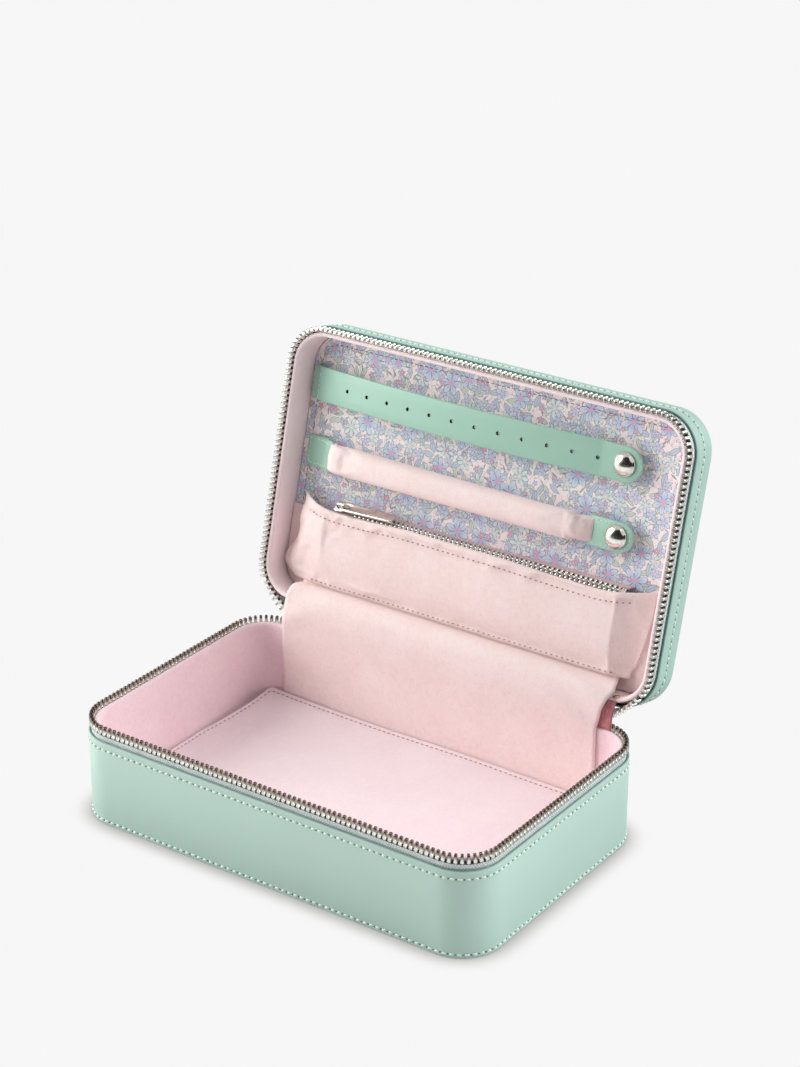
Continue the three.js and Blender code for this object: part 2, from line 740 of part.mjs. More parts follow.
// The strap bows off the panel between its sewn end and its snap, with a row of holes for earrings
function earringStrap() {
  const end = strapSnapX + strapEndPastSnap;
  const steps = 20;
  const xs = Array.from({ length: steps + 1 }, (_, i) => (
    strapLeftX + ((strapSnapX - strapLeftX) * strapFlatShare * i) / steps
  ));
  xs.push(end);
  const lower = xs.map((x) => new THREE.Vector2(x, -strapUnderside(x)));
  const upper = xs.map((x) => new THREE.Vector2(x, -strapUnderside(x) - strapThickness)).reverse();
  const side = new THREE.Shape([...lower, ...upper]);
  const bent = plate(side, -strapWidth / 2 - cutOverrun, strapWidth / 2 + cutOverrun);
  bent.applyMatrix4(new THREE.Matrix4().set(1, 0, 0, 0, 0, 0, -1, 0, 0, 1, 0, 0, 0, 0, 0, 1));
  const half = strapWidth / 2;
  const plan = new THREE.Shape();
  plan.moveTo(strapLeftX - cutOverrun, -half);
  plan.lineTo(end - half, -half);
  plan.absarc(end - half, 0, half, -Math.PI / 2, Math.PI / 2, false);
  plan.lineTo(strapLeftX - cutOverrun, half);
  const reach = strapBow + strapThickness + snapSeat + cutOverrun;
  let solid = toSolid(bent).intersect(toSolid(plate(plan, -reach, cutOverrun)));
  for (const { x, slope } of strapHolePlaces(xs)) {
    const punch = new THREE.CylinderGeometry(
      strapHoleDiameter / 2, strapHoleDiameter / 2, 2 * (strapThickness + cutOverrun), cornerSteps,
    );
    punch.rotateX(Math.PI / 2);
    punch.rotateY(slope);
    punch.translate(x, 0, -strapUnderside(x) - strapThickness / 2);
    solid = solid.subtract(toSolid(punch));
  }
  const strap = fromSolid(solid);
  strap.translate(0, strapCentreY, panelZ);
  return named('earring_strap', strap, 'leatherette');
}

// The holes lie at equal steps along the bent strap, between its sewn end and its snap
function strapHolePlaces(xs) {
  const marks = xs.slice(0, -1).concat(strapSnapX).map((x) => new THREE.Vector2(x, strapUnderside(x)));
  const steps = marks.slice(1).map((mark, i) => mark.distanceTo(marks[i]));
  const whole = steps.reduce((sum, step) => sum + step, 0);
  const pitch = (whole - strapFirstHole - strapLastHole) / (strapHoleCount - 1);
  return Array.from({ length: strapHoleCount }, (_, hole) => {
    let left = strapFirstHole + hole * pitch;
    let i = 0;
    while (i < steps.length - 1 && left > steps[i]) {
      left -= steps[i];
      i += 1;
    }
    const way = marks[i + 1].clone().sub(marks[i]);
    return { x: marks[i].x + (way.x * left) / steps[i], slope: Math.atan2(way.y, way.x) };
  });
}

// A turned piece whose axis stands on the panel, from radii and heights above the panel
function turned(profile, x, y) {
  const lathe = new THREE.LatheGeometry(profile.map(([r, h]) => new THREE.Vector2(r, h)), roundSides);
  const geometry = mergeVertices(stripped(lathe));
  geometry.rotateX(-Math.PI / 2);
  geometry.translate(x, y, panelZ);
  return outwardFaces(geometry);
}

// A snap fastener: stud on the panel, socket under the leather and domed cap over it
function snap(prefix, x, y, leatherThickness) {
  const outer = snapBaseDiameter / 2;
  const post = snapPostDiameter / 2;
  const stud = turned([
    [0, fitGap], [outer, fitGap], [outer, fitGap + snapBaseThickness],
    [post, fitGap + snapBaseThickness], [post, snapSeat - fitGap], [0, snapSeat - fitGap],
  ], x, y);
  const socket = turned([
    [post + fitGap, snapSeat - snapSocketHeight], [outer, snapSeat - snapSocketHeight],
    [outer, snapSeat], [post + fitGap, snapSeat], [post + fitGap, snapSeat - snapSocketHeight],
  ], x, y);
  const capBottom = snapSeat + 2 * fitGap + leatherThickness;
  const cap = turned([
    [0, capBottom],
    ...snapDomeShares.map(([r, h]) => [(snapDiameter / 2) * r, capBottom + snapDome * h]),
    [0, capBottom + snapDome],
  ], x, y);
  return {
    stud: named(`${prefix}_snap_stud`, stud, 'nickel'),
    socket: named(`${prefix}_snap_socket`, socket, 'nickel'),
    cap: named(`${prefix}_snap_cap`, cap, 'nickel'),
  };
}
const snapDomeShares = [[0.94, 0], [1, 0.18], [0.97, 0.42], [0.82, 0.7], [0.55, 0.9]];

// The padded roll, pinched flat where it is sewn to its tabs
function ringRollPad() {
  const length = rollRightX - rollLeftX;
  const tabMiddle = snapSeat + fitGap + rollTabThickness / 2;
  const rings = rollShares.map(([along, thickShare, widthShare, liftShare]) => {
    const x = rollLeftX + rollPinchLength * along[0] + length * along[1];
    const b = (rollPinch + (rollThickness - rollPinch) * thickShare) / 2;
    const a = (rollWidth * widthShare) / 2;
    const centre = THREE.MathUtils.lerp(rollSeat + b, tabMiddle, liftShare);
    return Array.from({ length: rollSides }, (_, i) => {
      const angle = (2 * Math.PI * (i + 1 / 2)) / rollSides;
      return new THREE.Vector3(x, rollCentreY + a * Math.cos(angle), panelZ - centre - b * Math.sin(angle));
    });
  });
  return named('ring_roll_pad', loft(rings, false), 'suedette');
}
const rollSides = 16;
const rollSeat = 1;
const rollShares = [
  [[0, 0], 0, 0.98, 0], [[0.25, 0], 0.45, 1, 0], [[0.6, 0], 0.85, 1.01, 0], [[1, 0], 1, 1, 0],
  [[1, 0.15], 0.97, 0.985, 0], [[1, 0.3], 1, 0.98, 0], [[1, 0.45], 0.98, 0.97, 0], [[1, 0.6], 1, 0.95, 0],
  [[1, 0.75], 0.96, 0.93, 0], [[-1, 1], 0.92, 0.9, 0], [[-0.55, 1], 0.75, 0.88, 0.3],
  [[-0.2, 1], 0.35, 0.86, 0.8], [[0, 1], 0, 0.84, 1],
];

function rollLeftTab() {
  const left = rollLeftX - fitGap - rollLeftTabLength;
  const shape = new THREE.Shape();
  const half = rollTabHeight / 2;
  shape.moveTo(left, -half);
  shape.lineTo(rollLeftX - fitGap, -half);
  shape.lineTo(rollLeftX - fitGap, half);
  shape.lineTo(left, half);
  const tab = plate(shape, panelZ - fitGap - rollTabThickness, panelZ - fitGap);
  tab.translate(0, rollCentreY, 0);
  return named('ring_roll_left_tab', tab, 'leatherette');
}

function rollRightTab() {
  const half = (rollWidth + fitGap) / 2;
  const left = rollRightX + fitGap;
  const end = left + rollRightTabLength;
  const shape = new THREE.Shape();
  shape.moveTo(left, -half);
  shape.lineTo(end - half, -half);
  shape.absarc(end - half, 0, half, -Math.PI / 2, Math.PI / 2, false);
  shape.lineTo(left, half);
  const low = panelZ - snapSeat - fitGap;
  const tab = plate(shape, low - rollTabThickness, low);
  tab.translate(0, rollCentreY, 0);
  return named('ring_roll_right_tab', tab, 'leatherette');
}

// The pocket's chain has its own frame: X along it, +Y out of the chain and +Z towards the pocket's front
function pocketZip() {
  const group = new THREE.Group();
  const halfPocketRow = pocketToothRowThickness / 2;
  const count = Math.floor((pocketZipRightX - pocketZipLeftX) / pocketToothPitch);
  const width = pocketToothPitch / 2 - fitGap;
  for (const [name, way, shift] of [['upper', -1, 0], ['lower', 1, 1 / 2]]) {
    const places = Array.from({ length: count }, (_, i) => (i + 1 / 2 + shift) * pocketToothPitch);
    const frameAt = (distance) => ({
      origin: new THREE.Vector3(pocketZipLeftX + distance, 0, 0),
      side: new THREE.Vector3(0, way, 0),
      way: new THREE.Vector3(0, 0, -way),
    });
    const root = [-pocketToothRowReach, -pocketToothRowReach * pocketRootShare];
    const row = toothRow(frameAt, places, width, pocketToothRowThickness, root, -pocketToothSlit / 2);
    group.add(named(`pocket_${name}_teeth`, row, 'nickel'));
    const wide = way < 0 ? pocketTapeWidth : pocketLowerTapeWidth;
    const left = pocketSliderX - sliderLength / 2 - fitGap;
    const right = pocketZipRightX + pocketToothPitch;
    const tape = box(
      (left + right) / 2, 0, way * (pocketTapeStart + wide / 2), right - left, tapeThickness, wide,
    );
    group.add(named(`pocket_${name}_tape`, tape, 'tape'));
  }
  const stopX = pocketZipRightX + pocketToothPitch + fitGap + pocketStopLength / 2;
  const stop = box(stopX, 0, 0, pocketStopLength, 2 * halfPocketRow, 2 * pocketToothRowReach);
  group.add(named('pocket_zip_stop', stop, 'nickel'));
  const halfGap = halfPocketRow + fitGap;
  const slider = named('pocket_slider', pocketSliderGeometry(halfGap), 'nickel');
  slider.position.set(pocketSliderX, 0, 0);
  const pull = named('pocket_pull', pullGeometry(), 'nickel');
  pull.position.set(pocketSliderX, pullSeat(halfGap), 0);
  group.add(slider, pull);
  group.position.set(0, pocketZipY, panelZ - pocketZipHeight);
  group.rotation.x = -Math.PI + pocketAngle;
  return group;
}
const pocketRootShare = 0.7;
const pocketStopLength = 2;

// The pocket's slider is a little narrower, and its post is thin enough to pass between the rows
function pocketSliderGeometry(halfGap) {
  return sliderGeometry(halfGap, 0, 2 * pocketTapeStart);
}

// The pocket's front: one soft shell that swells from its zipped edge to its hem
function pocketFront() {
  const outer = [];
  const inner = [];
  const rows = pocketProfileShares.length;
  const along = pocketTapeStart + pocketHemBack;
  const out = tapeThickness / 2 + fitGap + pocketCloth;
  const topY = pocketZipY + along * Math.sin(pocketAngle) - out * Math.cos(pocketAngle);
  const topH = pocketZipHeight + along * Math.cos(pocketAngle) + out * Math.sin(pocketAngle);
  for (const across of pocketAcrossShares) {
    const x = across * pocketHalfWidth;
    const edge = (Math.abs(across) - pocketShoulderShare) / (1 - pocketShoulderShare);
    const fall = Math.max(0, edge) ** 2;
    const outerRow = [];
    const innerRow = [];
    pocketProfileShares.forEach(([v, swell], j) => {
      const pull = across < 0 ? pocketLeftSpreadShares[j] : pocketRightTuckShares[j];
      const y = topY + (pocketSeamY - topY) * v - fall * pocketCornerRise * (1 - v);
      const edgeH = pocketSideRise + pocketCloth;
      const ruck = pocketRuck * Math.sin(across * pocketRuckTurns * Math.PI) * v * (1 - v);
      const full = topH + (pocketSeamHeight - topH) * v + (pocketBulge - pocketSeamHeight) * swell + ruck;
      const height = full + (edgeH - full) * fall;
      outerRow.push(new THREE.Vector3(x * (1 + pull * fall), y, height));
      const inside = 1 - (pocketCloth * fall) / pocketHalfWidth;
      innerRow.push(new THREE.Vector3(x * (1 + pull * fall) * inside, y, height - pocketCloth));
    });
    outer.push(outerRow);
    inner.push(innerRow);
  }
  const rings = outer.map((row, i) => [...row, ...inner[i].slice().reverse()]);
  const shell = loftStrip(rings, rows);
  shell.applyMatrix4(new THREE.Matrix4().set(1, 0, 0, 0, 0, 1, 0, 0, 0, 0, -1, panelZ, 0, 0, 0, 1));
  return named('pocket_front', outwardFaces(shell), 'suedette');
}
const pocketHemBack = 1;
const pocketCornerRise = 4;
const pocketRuck = 1.2;
const pocketRuckTurns = 2.5;
const pocketShoulderShare = 0.87;
const pocketAcrossShares = [
  -1, -0.99, -0.97, -0.945, -0.91, -0.87, -0.72, -0.56, -0.4, -0.24, -0.08,
  0.08, 0.24, 0.4, 0.56, 0.72, 0.87, 0.91, 0.945, 0.97, 0.99, 1,
];
const pocketProfileShares = [
  [0, 0], [0.04, 0.22], [0.12, 0.4], [0.25, 0.62], [0.42, 0.8], [0.58, 0.88],
  [0.74, 0.8], [0.86, 0.55], [0.95, 0.22], [1, 0],
];
const pocketLeftSpreadShares = [0, 0, 0.005, 0.01, 0.02, 0.035, 0.04, 0.035, 0.01, 0];
const pocketRightTuckShares = [0, 0, 0, 0, -0.005, -0.01, -0.015, -0.02, -0.025, -0.03];

// As loft, but each end's cap follows the two faces of a bent sheet row by row
function loftStrip(rings, rows) {
  const count = rings[0].length;
  const points = rings.flat();
  const triangles = [];
  for (let i = 0; i < rings.length - 1; i += 1) {
    for (let j = 0; j < count; j += 1) {
      const k = (j + 1) % count;
      const here = i * count;
      const next = here + count;
      triangles.push([here + j, here + k, next + k], [here + j, next + k, next + j]);
    }
  }
  const end = (rings.length - 1) * count;
  for (let j = 0; j < rows - 1; j += 1) {
    const a = j;
    const b = j + 1;
    const c = count - 2 - j;
    const d = count - 1 - j;
    triangles.push([a, c, b], [a, d, c], [end + a, end + b, end + c], [end + a, end + c, end + d]);
  }
  return closedGeometry(points, triangles);
}

// The rivet that holds the lining beside the hinge
function liningRivet() {
  const angle = THREE.MathUtils.degToRad(rivetTurnDegrees);
  const reach = cornerRadius - wallThickness - fitGap;
  const radius = rivetDiameter / 2;
  const profile = rivetDomeShares.map(([across, high]) => new THREE.Vector2(radius * across, radius * high));
  const dome = mergeVertices(stripped(new THREE.LatheGeometry(profile, cornerSteps)));
  dome.rotateX(Math.PI);
  dome.rotateZ(angle - Math.PI / 2);
  dome.translate(
    straightHalfX + reach * Math.cos(angle), straightHalfY + reach * Math.sin(angle),
    splitHeight + lipBelowSplit + rivetDiameter,
  );
  return named('lining_rivet', outwardFaces(dome), 'brass');
}

const rivetDomeShares = [[0, 0], [1, 0], [0.7, 0.5], [0, 0.7]];

function buildBase() {
  const base = new THREE.Group();
  const chain = { from: rimDistance(sliderTail), to: rimDistance(stopFace), shift: 0 };
  const faces = ['base_bottom_cover', 'base_floor_lining'];
  base.add(...shellHalf('base', baseCoverHeight, (height) => height, chain, faces, 'suedette'));
  base.add(floorPad(), hingeSpine(), hingeLining(), endStop(), mainSlider());
  const mouth = sliderCentreX - sliderLength / 2 - sliderTravel - fitGap;
  base.add(lidChainEnd('lid_chain_end_right', 1, stopFace));
  base.add(lidChainEnd('lid_chain_end_left', -1, mouth));
  return base;
}

function buildLid() {
  const lid = new THREE.Group();
  const chain = { from: -lidChainReach, to: lidChainReach, shift: 1 / 2 };
  const fromTop = (height) => closedHeight - height;
  lid.add(...shellHalf('lid', lidCoverHeight, fromTop, chain, ['lid_top_cover', 'lid_print_panel'], 'print'));
  const strapSnap = snap('strap', strapSnapX, strapCentreY, strapThickness);
  const rollSnap = snap('ring_roll', rollRightX + rollSnapPastRoll, rollCentreY, rollTabThickness);
  lid.add(earringStrap(), ...Object.values(strapSnap));
  lid.add(ringRollPad(), rollLeftTab(), rollRightTab(), ...Object.values(rollSnap));
  lid.add(pocketFront(), pocketZip(), liningRivet());
  lid.position.set(0, -hingeY, -hingeZ);
  const pivot = new THREE.Group();
  pivot.add(lid);
  pivot.position.set(0, hingeY, hingeZ);
  pivot.rotation.x = -openAngle;
  return pivot;
}

const jewelleryCase = new THREE.Group();
jewelleryCase.add(buildBase(), buildLid());

export default jewelleryCase;
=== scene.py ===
"""A zip-around jewellery case with its lid open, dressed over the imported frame.

Sizes are millimetres in the case's own closed position until a mesh is made.
Meshes are metres in the row frame.
"""
import logging
from collections.abc import Callable, Sequence
from dataclasses import dataclass, field
from enum import Enum
from math import atan, ceil, copysign, cos, exp, floor, pi, radians, sin, sqrt

import bpy
import numpy as np
from mathutils import Matrix, Vector


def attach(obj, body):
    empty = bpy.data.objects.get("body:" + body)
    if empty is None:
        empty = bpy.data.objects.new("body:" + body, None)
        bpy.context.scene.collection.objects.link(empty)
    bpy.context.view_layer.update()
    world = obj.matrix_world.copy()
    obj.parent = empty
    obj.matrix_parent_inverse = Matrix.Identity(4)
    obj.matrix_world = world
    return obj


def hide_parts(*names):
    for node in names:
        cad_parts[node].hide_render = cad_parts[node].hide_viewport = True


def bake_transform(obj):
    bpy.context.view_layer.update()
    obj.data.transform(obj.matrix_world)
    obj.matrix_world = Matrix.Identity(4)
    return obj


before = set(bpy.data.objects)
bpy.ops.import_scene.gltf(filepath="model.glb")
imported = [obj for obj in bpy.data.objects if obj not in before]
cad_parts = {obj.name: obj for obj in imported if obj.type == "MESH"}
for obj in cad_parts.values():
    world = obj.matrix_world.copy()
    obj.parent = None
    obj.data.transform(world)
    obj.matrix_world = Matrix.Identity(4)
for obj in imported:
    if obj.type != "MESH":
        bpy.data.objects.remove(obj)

log = logging.getLogger("jewellery_case")
MM = 0.001
Colour = tuple[float, float, float, float]
Pair = tuple[float, float]
Socket = bpy.types.NodeSocket
Thing = bpy.types.Object
Material = bpy.types.Material
Masks = dict[str, Callable[[Vector], float]]


class Body(Enum):
    """The moving bodies of the frame."""

    BASE = "base"
    LID = "lid"
    STRAP = "strap"
    ROLL = "ring_roll"
    POCKET_SLIDER = "pocket_slider"
    POCKET_PULL = "pocket_pull"
    MAIN_SLIDER = "main_slider"
    MAIN_PULL = "main_pull"


class Slot(Enum):
    """The record's material slots."""

    LEATHER = "leatherette"
    BOARD = "board"
    SUEDETTE = "suedette"
    PRINT = "print"
    TAPE = "tape"
    NICKEL = "nickel"
    BRASS = "brass"


def tone(red: float, green: float, blue: float) -> Colour:
    """A linear colour from screen values of 0 to 255.

    Args:
        red, green, blue: The screen values.

    Returns:
        The colour for a shader socket.
    """
    def linear(value: float) -> float:
        """One channel, straightened."""
        share = value / 255
        return share / 12.92 if share <= 0.04045 else ((share + 0.055) / 1.055) ** 2.4

    return (linear(red), linear(green), linear(blue), 1.0)


# Sizes and places


@dataclass(frozen=True)
class CaseSize:
    """Sizes of the whole case and the layers of its walls."""

    length: float = 215.0
    depth: float = 134.0
    corner: float = 19.0
    base_cover: float = 42.0
    lid_cover: float = 14.0
    zip_band: float = 11.2
    open_degrees: float = 104.7
    hinge_behind: float = 2.3
    hinge_above_split: float = 5.1
    gap: float = 0.3
    wall: float = 5.0
    panel_height: float = 63.1
    floor_top: float = 4.1
    tape_inset: float = 1.55
    chain_turn: float = 35.0
    tooth_pitch: float = 2.65
    tooth_width: float = 1.4
    tooth_thickness: float = 2.3
    tooth_reach: float = 2.6
    tooth_tip: float = 1.4

    @property
    def split(self) -> float:
        """Height of the middle of the zip."""
        return self.base_cover + self.zip_band / 2

    @property
    def top(self) -> float:
        """Height of the closed case."""
        return self.base_cover + self.zip_band + self.lid_cover

    @property
    def inner_x(self) -> float:
        """Half the inner length."""
        return self.length / 2 - self.wall

    @property
    def inner_y(self) -> float:
        """Half the inner depth."""
        return self.depth / 2 - self.wall

    @property
    def straight_x(self) -> float:
        """Half the straight part of the long sides."""
        return self.length / 2 - self.corner

    @property
    def straight_y(self) -> float:
        """Half the straight part of the short sides."""
        return self.depth / 2 - self.corner

    @property
    def hinge(self) -> Pair:
        """Y and Z of the hinge's axis."""
        return self.depth / 2 + self.hinge_behind, self.split + self.hinge_above_split

    def opened(self, point: Vector) -> Vector:
        """Where a point of the closed lid lies once the lid is open.

        Args:
            point: A point in the closed position.

        Returns:
            The same point with the lid open.
        """
        angle = radians(self.open_degrees)
        y, z = self.hinge
        away_y, away_z = point[1] - y, point[2] - z
        return Vector((
            point[0],
            y + away_y * cos(angle) + away_z * sin(angle),
            z - away_y * sin(angle) + away_z * cos(angle),
        ))

    def turned(self, way: Vector) -> Vector:
        """A direction of the closed lid once the lid is open."""
        return self.opened(way) - self.opened(Vector((0, 0, 0)))


@dataclass(frozen=True)
class Rim:
    """The case's rounded outline, measured both ways from the middle of the front."""

    case: CaseSize

    @property
    def arc(self) -> float:
        """Length of one corner."""
        return self.case.corner * pi / 2

    @property
    def rear_corner(self) -> float:
        """Distance from the middle of the front to the start of a rear corner."""
        return self.case.straight_x + self.arc + 2 * self.case.straight_y

    @property
    def half(self) -> float:
        """Distance from the middle of the front to the middle of the rear."""
        return self.rear_corner + self.arc + self.case.straight_x

    def at(self, distance: float, inset: float) -> tuple[float, float, float, float]:
        """The rim at a distance along it.

        Args:
            distance: Distance from the middle of the front, positive to the right.
            inset: How far inside the outline.

        Returns:
            X, Y and the outward direction's X and Y.
        """
        case, way = self.case, -1 if distance < 0 else 1
        radius, left = case.corner - inset, abs(distance)

        def turn(angle: float, centre: float) -> tuple[float, float, float, float]:
            """A point of a corner."""
            out = (cos(angle), sin(angle))
            return (way * (case.straight_x + radius * out[0]), centre + radius * out[1], way * out[0], out[1])

        if left <= case.straight_x:
            return (way * left, inset - case.depth / 2, 0.0, -1.0)
        left -= case.straight_x
        if left <= self.arc:
            return turn(left / case.corner - pi / 2, -case.straight_y)
        left -= self.arc
        if left <= 2 * case.straight_y:
            return (way * (case.length / 2 - inset), left - case.straight_y, float(way), 0.0)
        left -= 2 * case.straight_y
        if left <= self.arc:
            return turn(left / case.corner, case.straight_y)
        left -= self.arc
        return (way * (case.straight_x - left), case.depth / 2 - inset, 0.0, 1.0)

    def point(self, distance: float, inset: float, z: float) -> Vector:
        """A point of the rim at a height."""
        return Vector((*self.at(distance, inset)[:2], z))

    def distance(self, x: float) -> float:
        """The distance along the rim of a point of the rear wall."""
        return copysign(self.half - abs(x), x)

    def stations(self, start: float, stop: float, step: float = 4.0) -> list[float]:
        """Distances that follow the rim closely, finer round the corners.

        Args:
            start, stop: The ends of the run.
            step: The spacing on the straights.

        Returns:
            The distances in order, both ends included.
        """
        marks = {start, stop}
        for way in (-1, 1):
            for corner in (self.case.straight_x, self.rear_corner):
                marks.update(way * (corner + self.arc * i / 14) for i in range(15))
        ordered = sorted(mark for mark in marks if start <= mark <= stop)
        filled = [ordered[0]]
        for mark in ordered[1:]:
            count = max(1, ceil((mark - filled[-1]) / step))
            filled += [filled[-1] + (mark - filled[-1]) * (i + 1) / count for i in range(count)]
        return filled

    def loop(self) -> list[float]:
        """Stations once round the whole rim, the end left out."""
        return self.stations(-self.half, self.half)[:-1]


def smooth_step(value: float) -> float:
    """An even rise from 0 to 1."""
    share = min(1.0, max(0.0, value))
    return share * share * (3 - 2 * share)


def ripple(x: float, y: float, z: float = 0.0) -> float:
    """A calm wave without a visible period.

    Args:
        x, y: The place.
        z: How far it is shifted.

    Returns:
        Its level, from about -1 to 1.
    """
    return (
        sin(x + 1.7 * sin(0.61 * y + 0.3))
        + sin(0.73 * y + 1.3 * sin(0.47 * x + 1.1) + z)
        + sin(0.57 * (x + y) + 2.1 + z)
    ) / 3


def lengths(points: Sequence[Vector]) -> list[float]:
    """How long a line is up to each of its points.

    Args:
        points: The line's points.

    Returns:
        The lengths, the first of them 0.
    """
    run = [0.0]
    for p, q in zip(points, points[1:]):
        run.append(run[-1] + (q - p).length)
    return run


def tangents(points: Sequence[Vector]) -> list[Vector]:
    """The unit way along a line at each of its points."""
    last = len(points) - 1
    return [(points[min(i + 1, last)] - points[max(i - 1, 0)]).normalized() for i in range(last + 1)]


def inward(plan: Sequence[Pair]) -> list[Pair]:
    """The way into a counter-clockwise outline at each of its points.

    Args:
        plan: The outline.

    Returns:
        The unit directions.
    """
    ways = []
    for before, after in zip([plan[-1], *plan[:-1]], [*plan[1:], plan[0]]):
        tangent = Vector((after[0] - before[0], after[1] - before[1])).normalized()
        ways.append((-tangent.y, tangent.x))
    return ways


def circle(count: int) -> list[Pair]:
    """Cosines and sines at even steps round a circle."""
    return [(cos(2 * pi * i / count), sin(2 * pi * i / count)) for i in range(count)]


def spline(points: Sequence[Sequence[float]], count: int) -> list[Vector]:
    """A smooth line through points.

    Args:
        points: The points that it passes.
        count: How many points come back, evenly placed along the line.

    Returns:
        The line's points.
    """
    knots = [Vector(p) for p in points]
    knots = [2 * knots[0] - knots[1], *knots, 2 * knots[-1] - knots[-2]]
    dense: list[Vector] = []
    for a, b, c, d in zip(knots, knots[1:], knots[2:], knots[3:]):
        for i in range(24):
            t = i / 24
            dense.append(0.5 * (2 * b + (c - a) * t + (2 * a - 5 * b + 4 * c - d) * t * t
                                + (3 * b - a - 3 * c + d) * t ** 3))
    dense.append(knots[-2])
    run = lengths(dense)
    table = np.array([list(p) for p in dense])
    marks = np.linspace(0, run[-1], count)
    return [Vector([float(np.interp(m, run, table[:, k])) for k in range(table.shape[1])]) for m in marks]


# Meshes


@dataclass
class Draft:
    """A mesh in the making, in millimetres, with a pattern place for each face corner."""

    points: list[Vector] = field(default_factory=list)
    faces: list[tuple[int, ...]] = field(default_factory=list)
    places: list[tuple[Pair, ...]] = field(default_factory=list)

    @classmethod
    def loft(cls, rings: Sequence[Sequence[Vector]], closed_section: bool = True,
             closed_path: bool = False) -> "Draft":
        """A skin over rings of equal count, which points out and has closed ends where the section is closed.

        Args:
            rings: The rings in order.
            closed_section: Whether each ring closes on itself.
            closed_path: Whether the last ring joins the first.

        Returns:
            The draft.
        """
        count, points = len(rings[0]), [Vector(p) for ring in rings for p in ring]
        along = [0.0]
        for here, there in zip(rings, [*rings[1:], rings[0]]):
            along.append(along[-1] + sum((Vector(q) - Vector(p)).length for p, q in zip(here, there)) / count)
        middle = [Vector(p) for p in rings[len(rings) // 2]]
        across = lengths([*middle, middle[0]])
        faces, places = [], []
        for i in range(len(rings) if closed_path else len(rings) - 1):
            here, there = i * count, ((i + 1) % len(rings)) * count
            for j in range(count if closed_section else count - 1):
                k = (j + 1) % count
                faces.append((here + j, here + k, there + k, there + j))
                places.append(((along[i], across[j]), (along[i], across[j + 1]),
                               (along[i + 1], across[j + 1]), (along[i + 1], across[j])))
        if closed_section and not closed_path:
            last = (len(rings) - 1) * count
            for ends in (tuple(range(count))[::-1], tuple(last + j for j in range(count))):
                faces.append(ends)
                places.append(tuple((points[i].x, points[i].y) for i in ends))
        draft = cls(points, faces, places)
        return draft.turned_out() if closed_section else draft

    @classmethod
    def slab(cls, plan: Sequence[Pair], levels: Sequence[Pair]) -> "Draft":
        """A flat piece with shaped edges.

        Args:
            plan: Its convex outline, counter-clockwise.
            levels: Pairs of inset and height, from one face to the other.

        Returns:
            The draft, whose pattern places on its faces are X and Y.
        """
        rings = [[Vector((x + w[0] * inset, y + w[1] * inset, z)) for (x, y), w in zip(plan, inward(plan))]
                 for inset, z in levels]
        return cls.loft(rings)

    def turned_out(self) -> "Draft":
        """Turns the faces to point out.

        Returns:
            The draft itself.
        """
        volume = 0.0
        for face in self.faces:
            a = self.points[face[0]]
            for i, j in zip(face[1:], face[2:]):
                volume += a.dot(self.points[i].cross(self.points[j]))
        if volume < 0:
            self.faces = [face[::-1] for face in self.faces]
            self.places = [place[::-1] for place in self.places]
        return self

    def join(self, other: "Draft") -> "Draft":
        """Adds another draft to this one.

        Args:
            other: The other draft.

        Returns:
            The draft itself.
        """
        shift = len(self.points)
        self.points += other.points
        self.faces += [tuple(i + shift for i in face) for face in other.faces]
        self.places += other.places
        return self

    def mapped(self, move: Callable[[Vector], Vector]) -> "Draft":
        """A copy whose points are moved one by one."""
        return Draft([move(p) for p in self.points], list(self.faces), list(self.places))

    def placed(self, move: Callable[[Vector], Vector]) -> "Draft":
        """A copy of a closed draft with its points moved and its faces pointing out."""
        return self.mapped(move).turned_out()

    def make(self, name: str, material: Material, crease: float = 40.0, masks: Masks | None = None) -> Thing:
        """Makes the object.

        Args:
            name: The piece's name.
            material: Its finish.
            crease: The angle in degrees above which an edge stays sharp.
            masks: Named values for each point, for its material.

        Returns:
            The object, at the origin.
        """
        mesh = bpy.data.meshes.new(name)
        mesh.from_pydata([tuple(p * MM) for p in self.points], [], self.faces)
        flat = [value for place in self.places for corner in place for value in corner]
        mesh.uv_layers.new(name="UVMap").data.foreach_set("uv", flat)
        for mask, value in (masks or {}).items():
            attribute = mesh.attributes.new(mask, "FLOAT", "POINT")
            attribute.data.foreach_set("value", [value(p) for p in self.points])
        mesh.shade_smooth()
        mesh.set_sharp_from_angle(angle=radians(crease))
        mesh.materials.append(material)
        mesh.validate()
        return linked(name, mesh)


def linked(name: str, data: object) -> Thing:
    """Puts an object with that data into the scene.

    Args:
        name: Its name.
        data: Its mesh, light or camera.

    Returns:
        The object, at the origin.
    """
    thing = bpy.data.objects.new(name, data)
    bpy.context.scene.collection.objects.link(thing)
    return thing


def settle(thing: Thing, body: Body, slot: Slot, *nodes: str) -> Thing:
    """Fixes a finished piece to its body and hides the CAD nodes that it replaces.

    Args:
        thing: The piece.
        body: The body that it moves with.
        slot: Not used.
        nodes: The CAD nodes that it replaces.

    Returns:
        The piece.
    """
    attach(thing, body.value)
    if nodes:
        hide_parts(*nodes)
    log.info("%s: %d faces on %s", thing.name, len(thing.data.polygons), body.value)
    return thing


def finished(thing: Thing) -> None:
    """Turns a piece with modifiers into a plain mesh.

    Args:
        thing: The piece.
    """
    graph = bpy.context.evaluated_depsgraph_get()
    mesh = bpy.data.meshes.new_from_object(thing.evaluated_get(graph), preserve_all_data_layers=True,
                                           depsgraph=graph)
    old = thing.data
    thing.modifiers.clear()
    thing.data = mesh
    mesh.name = thing.name
    bpy.data.meshes.remove(old)


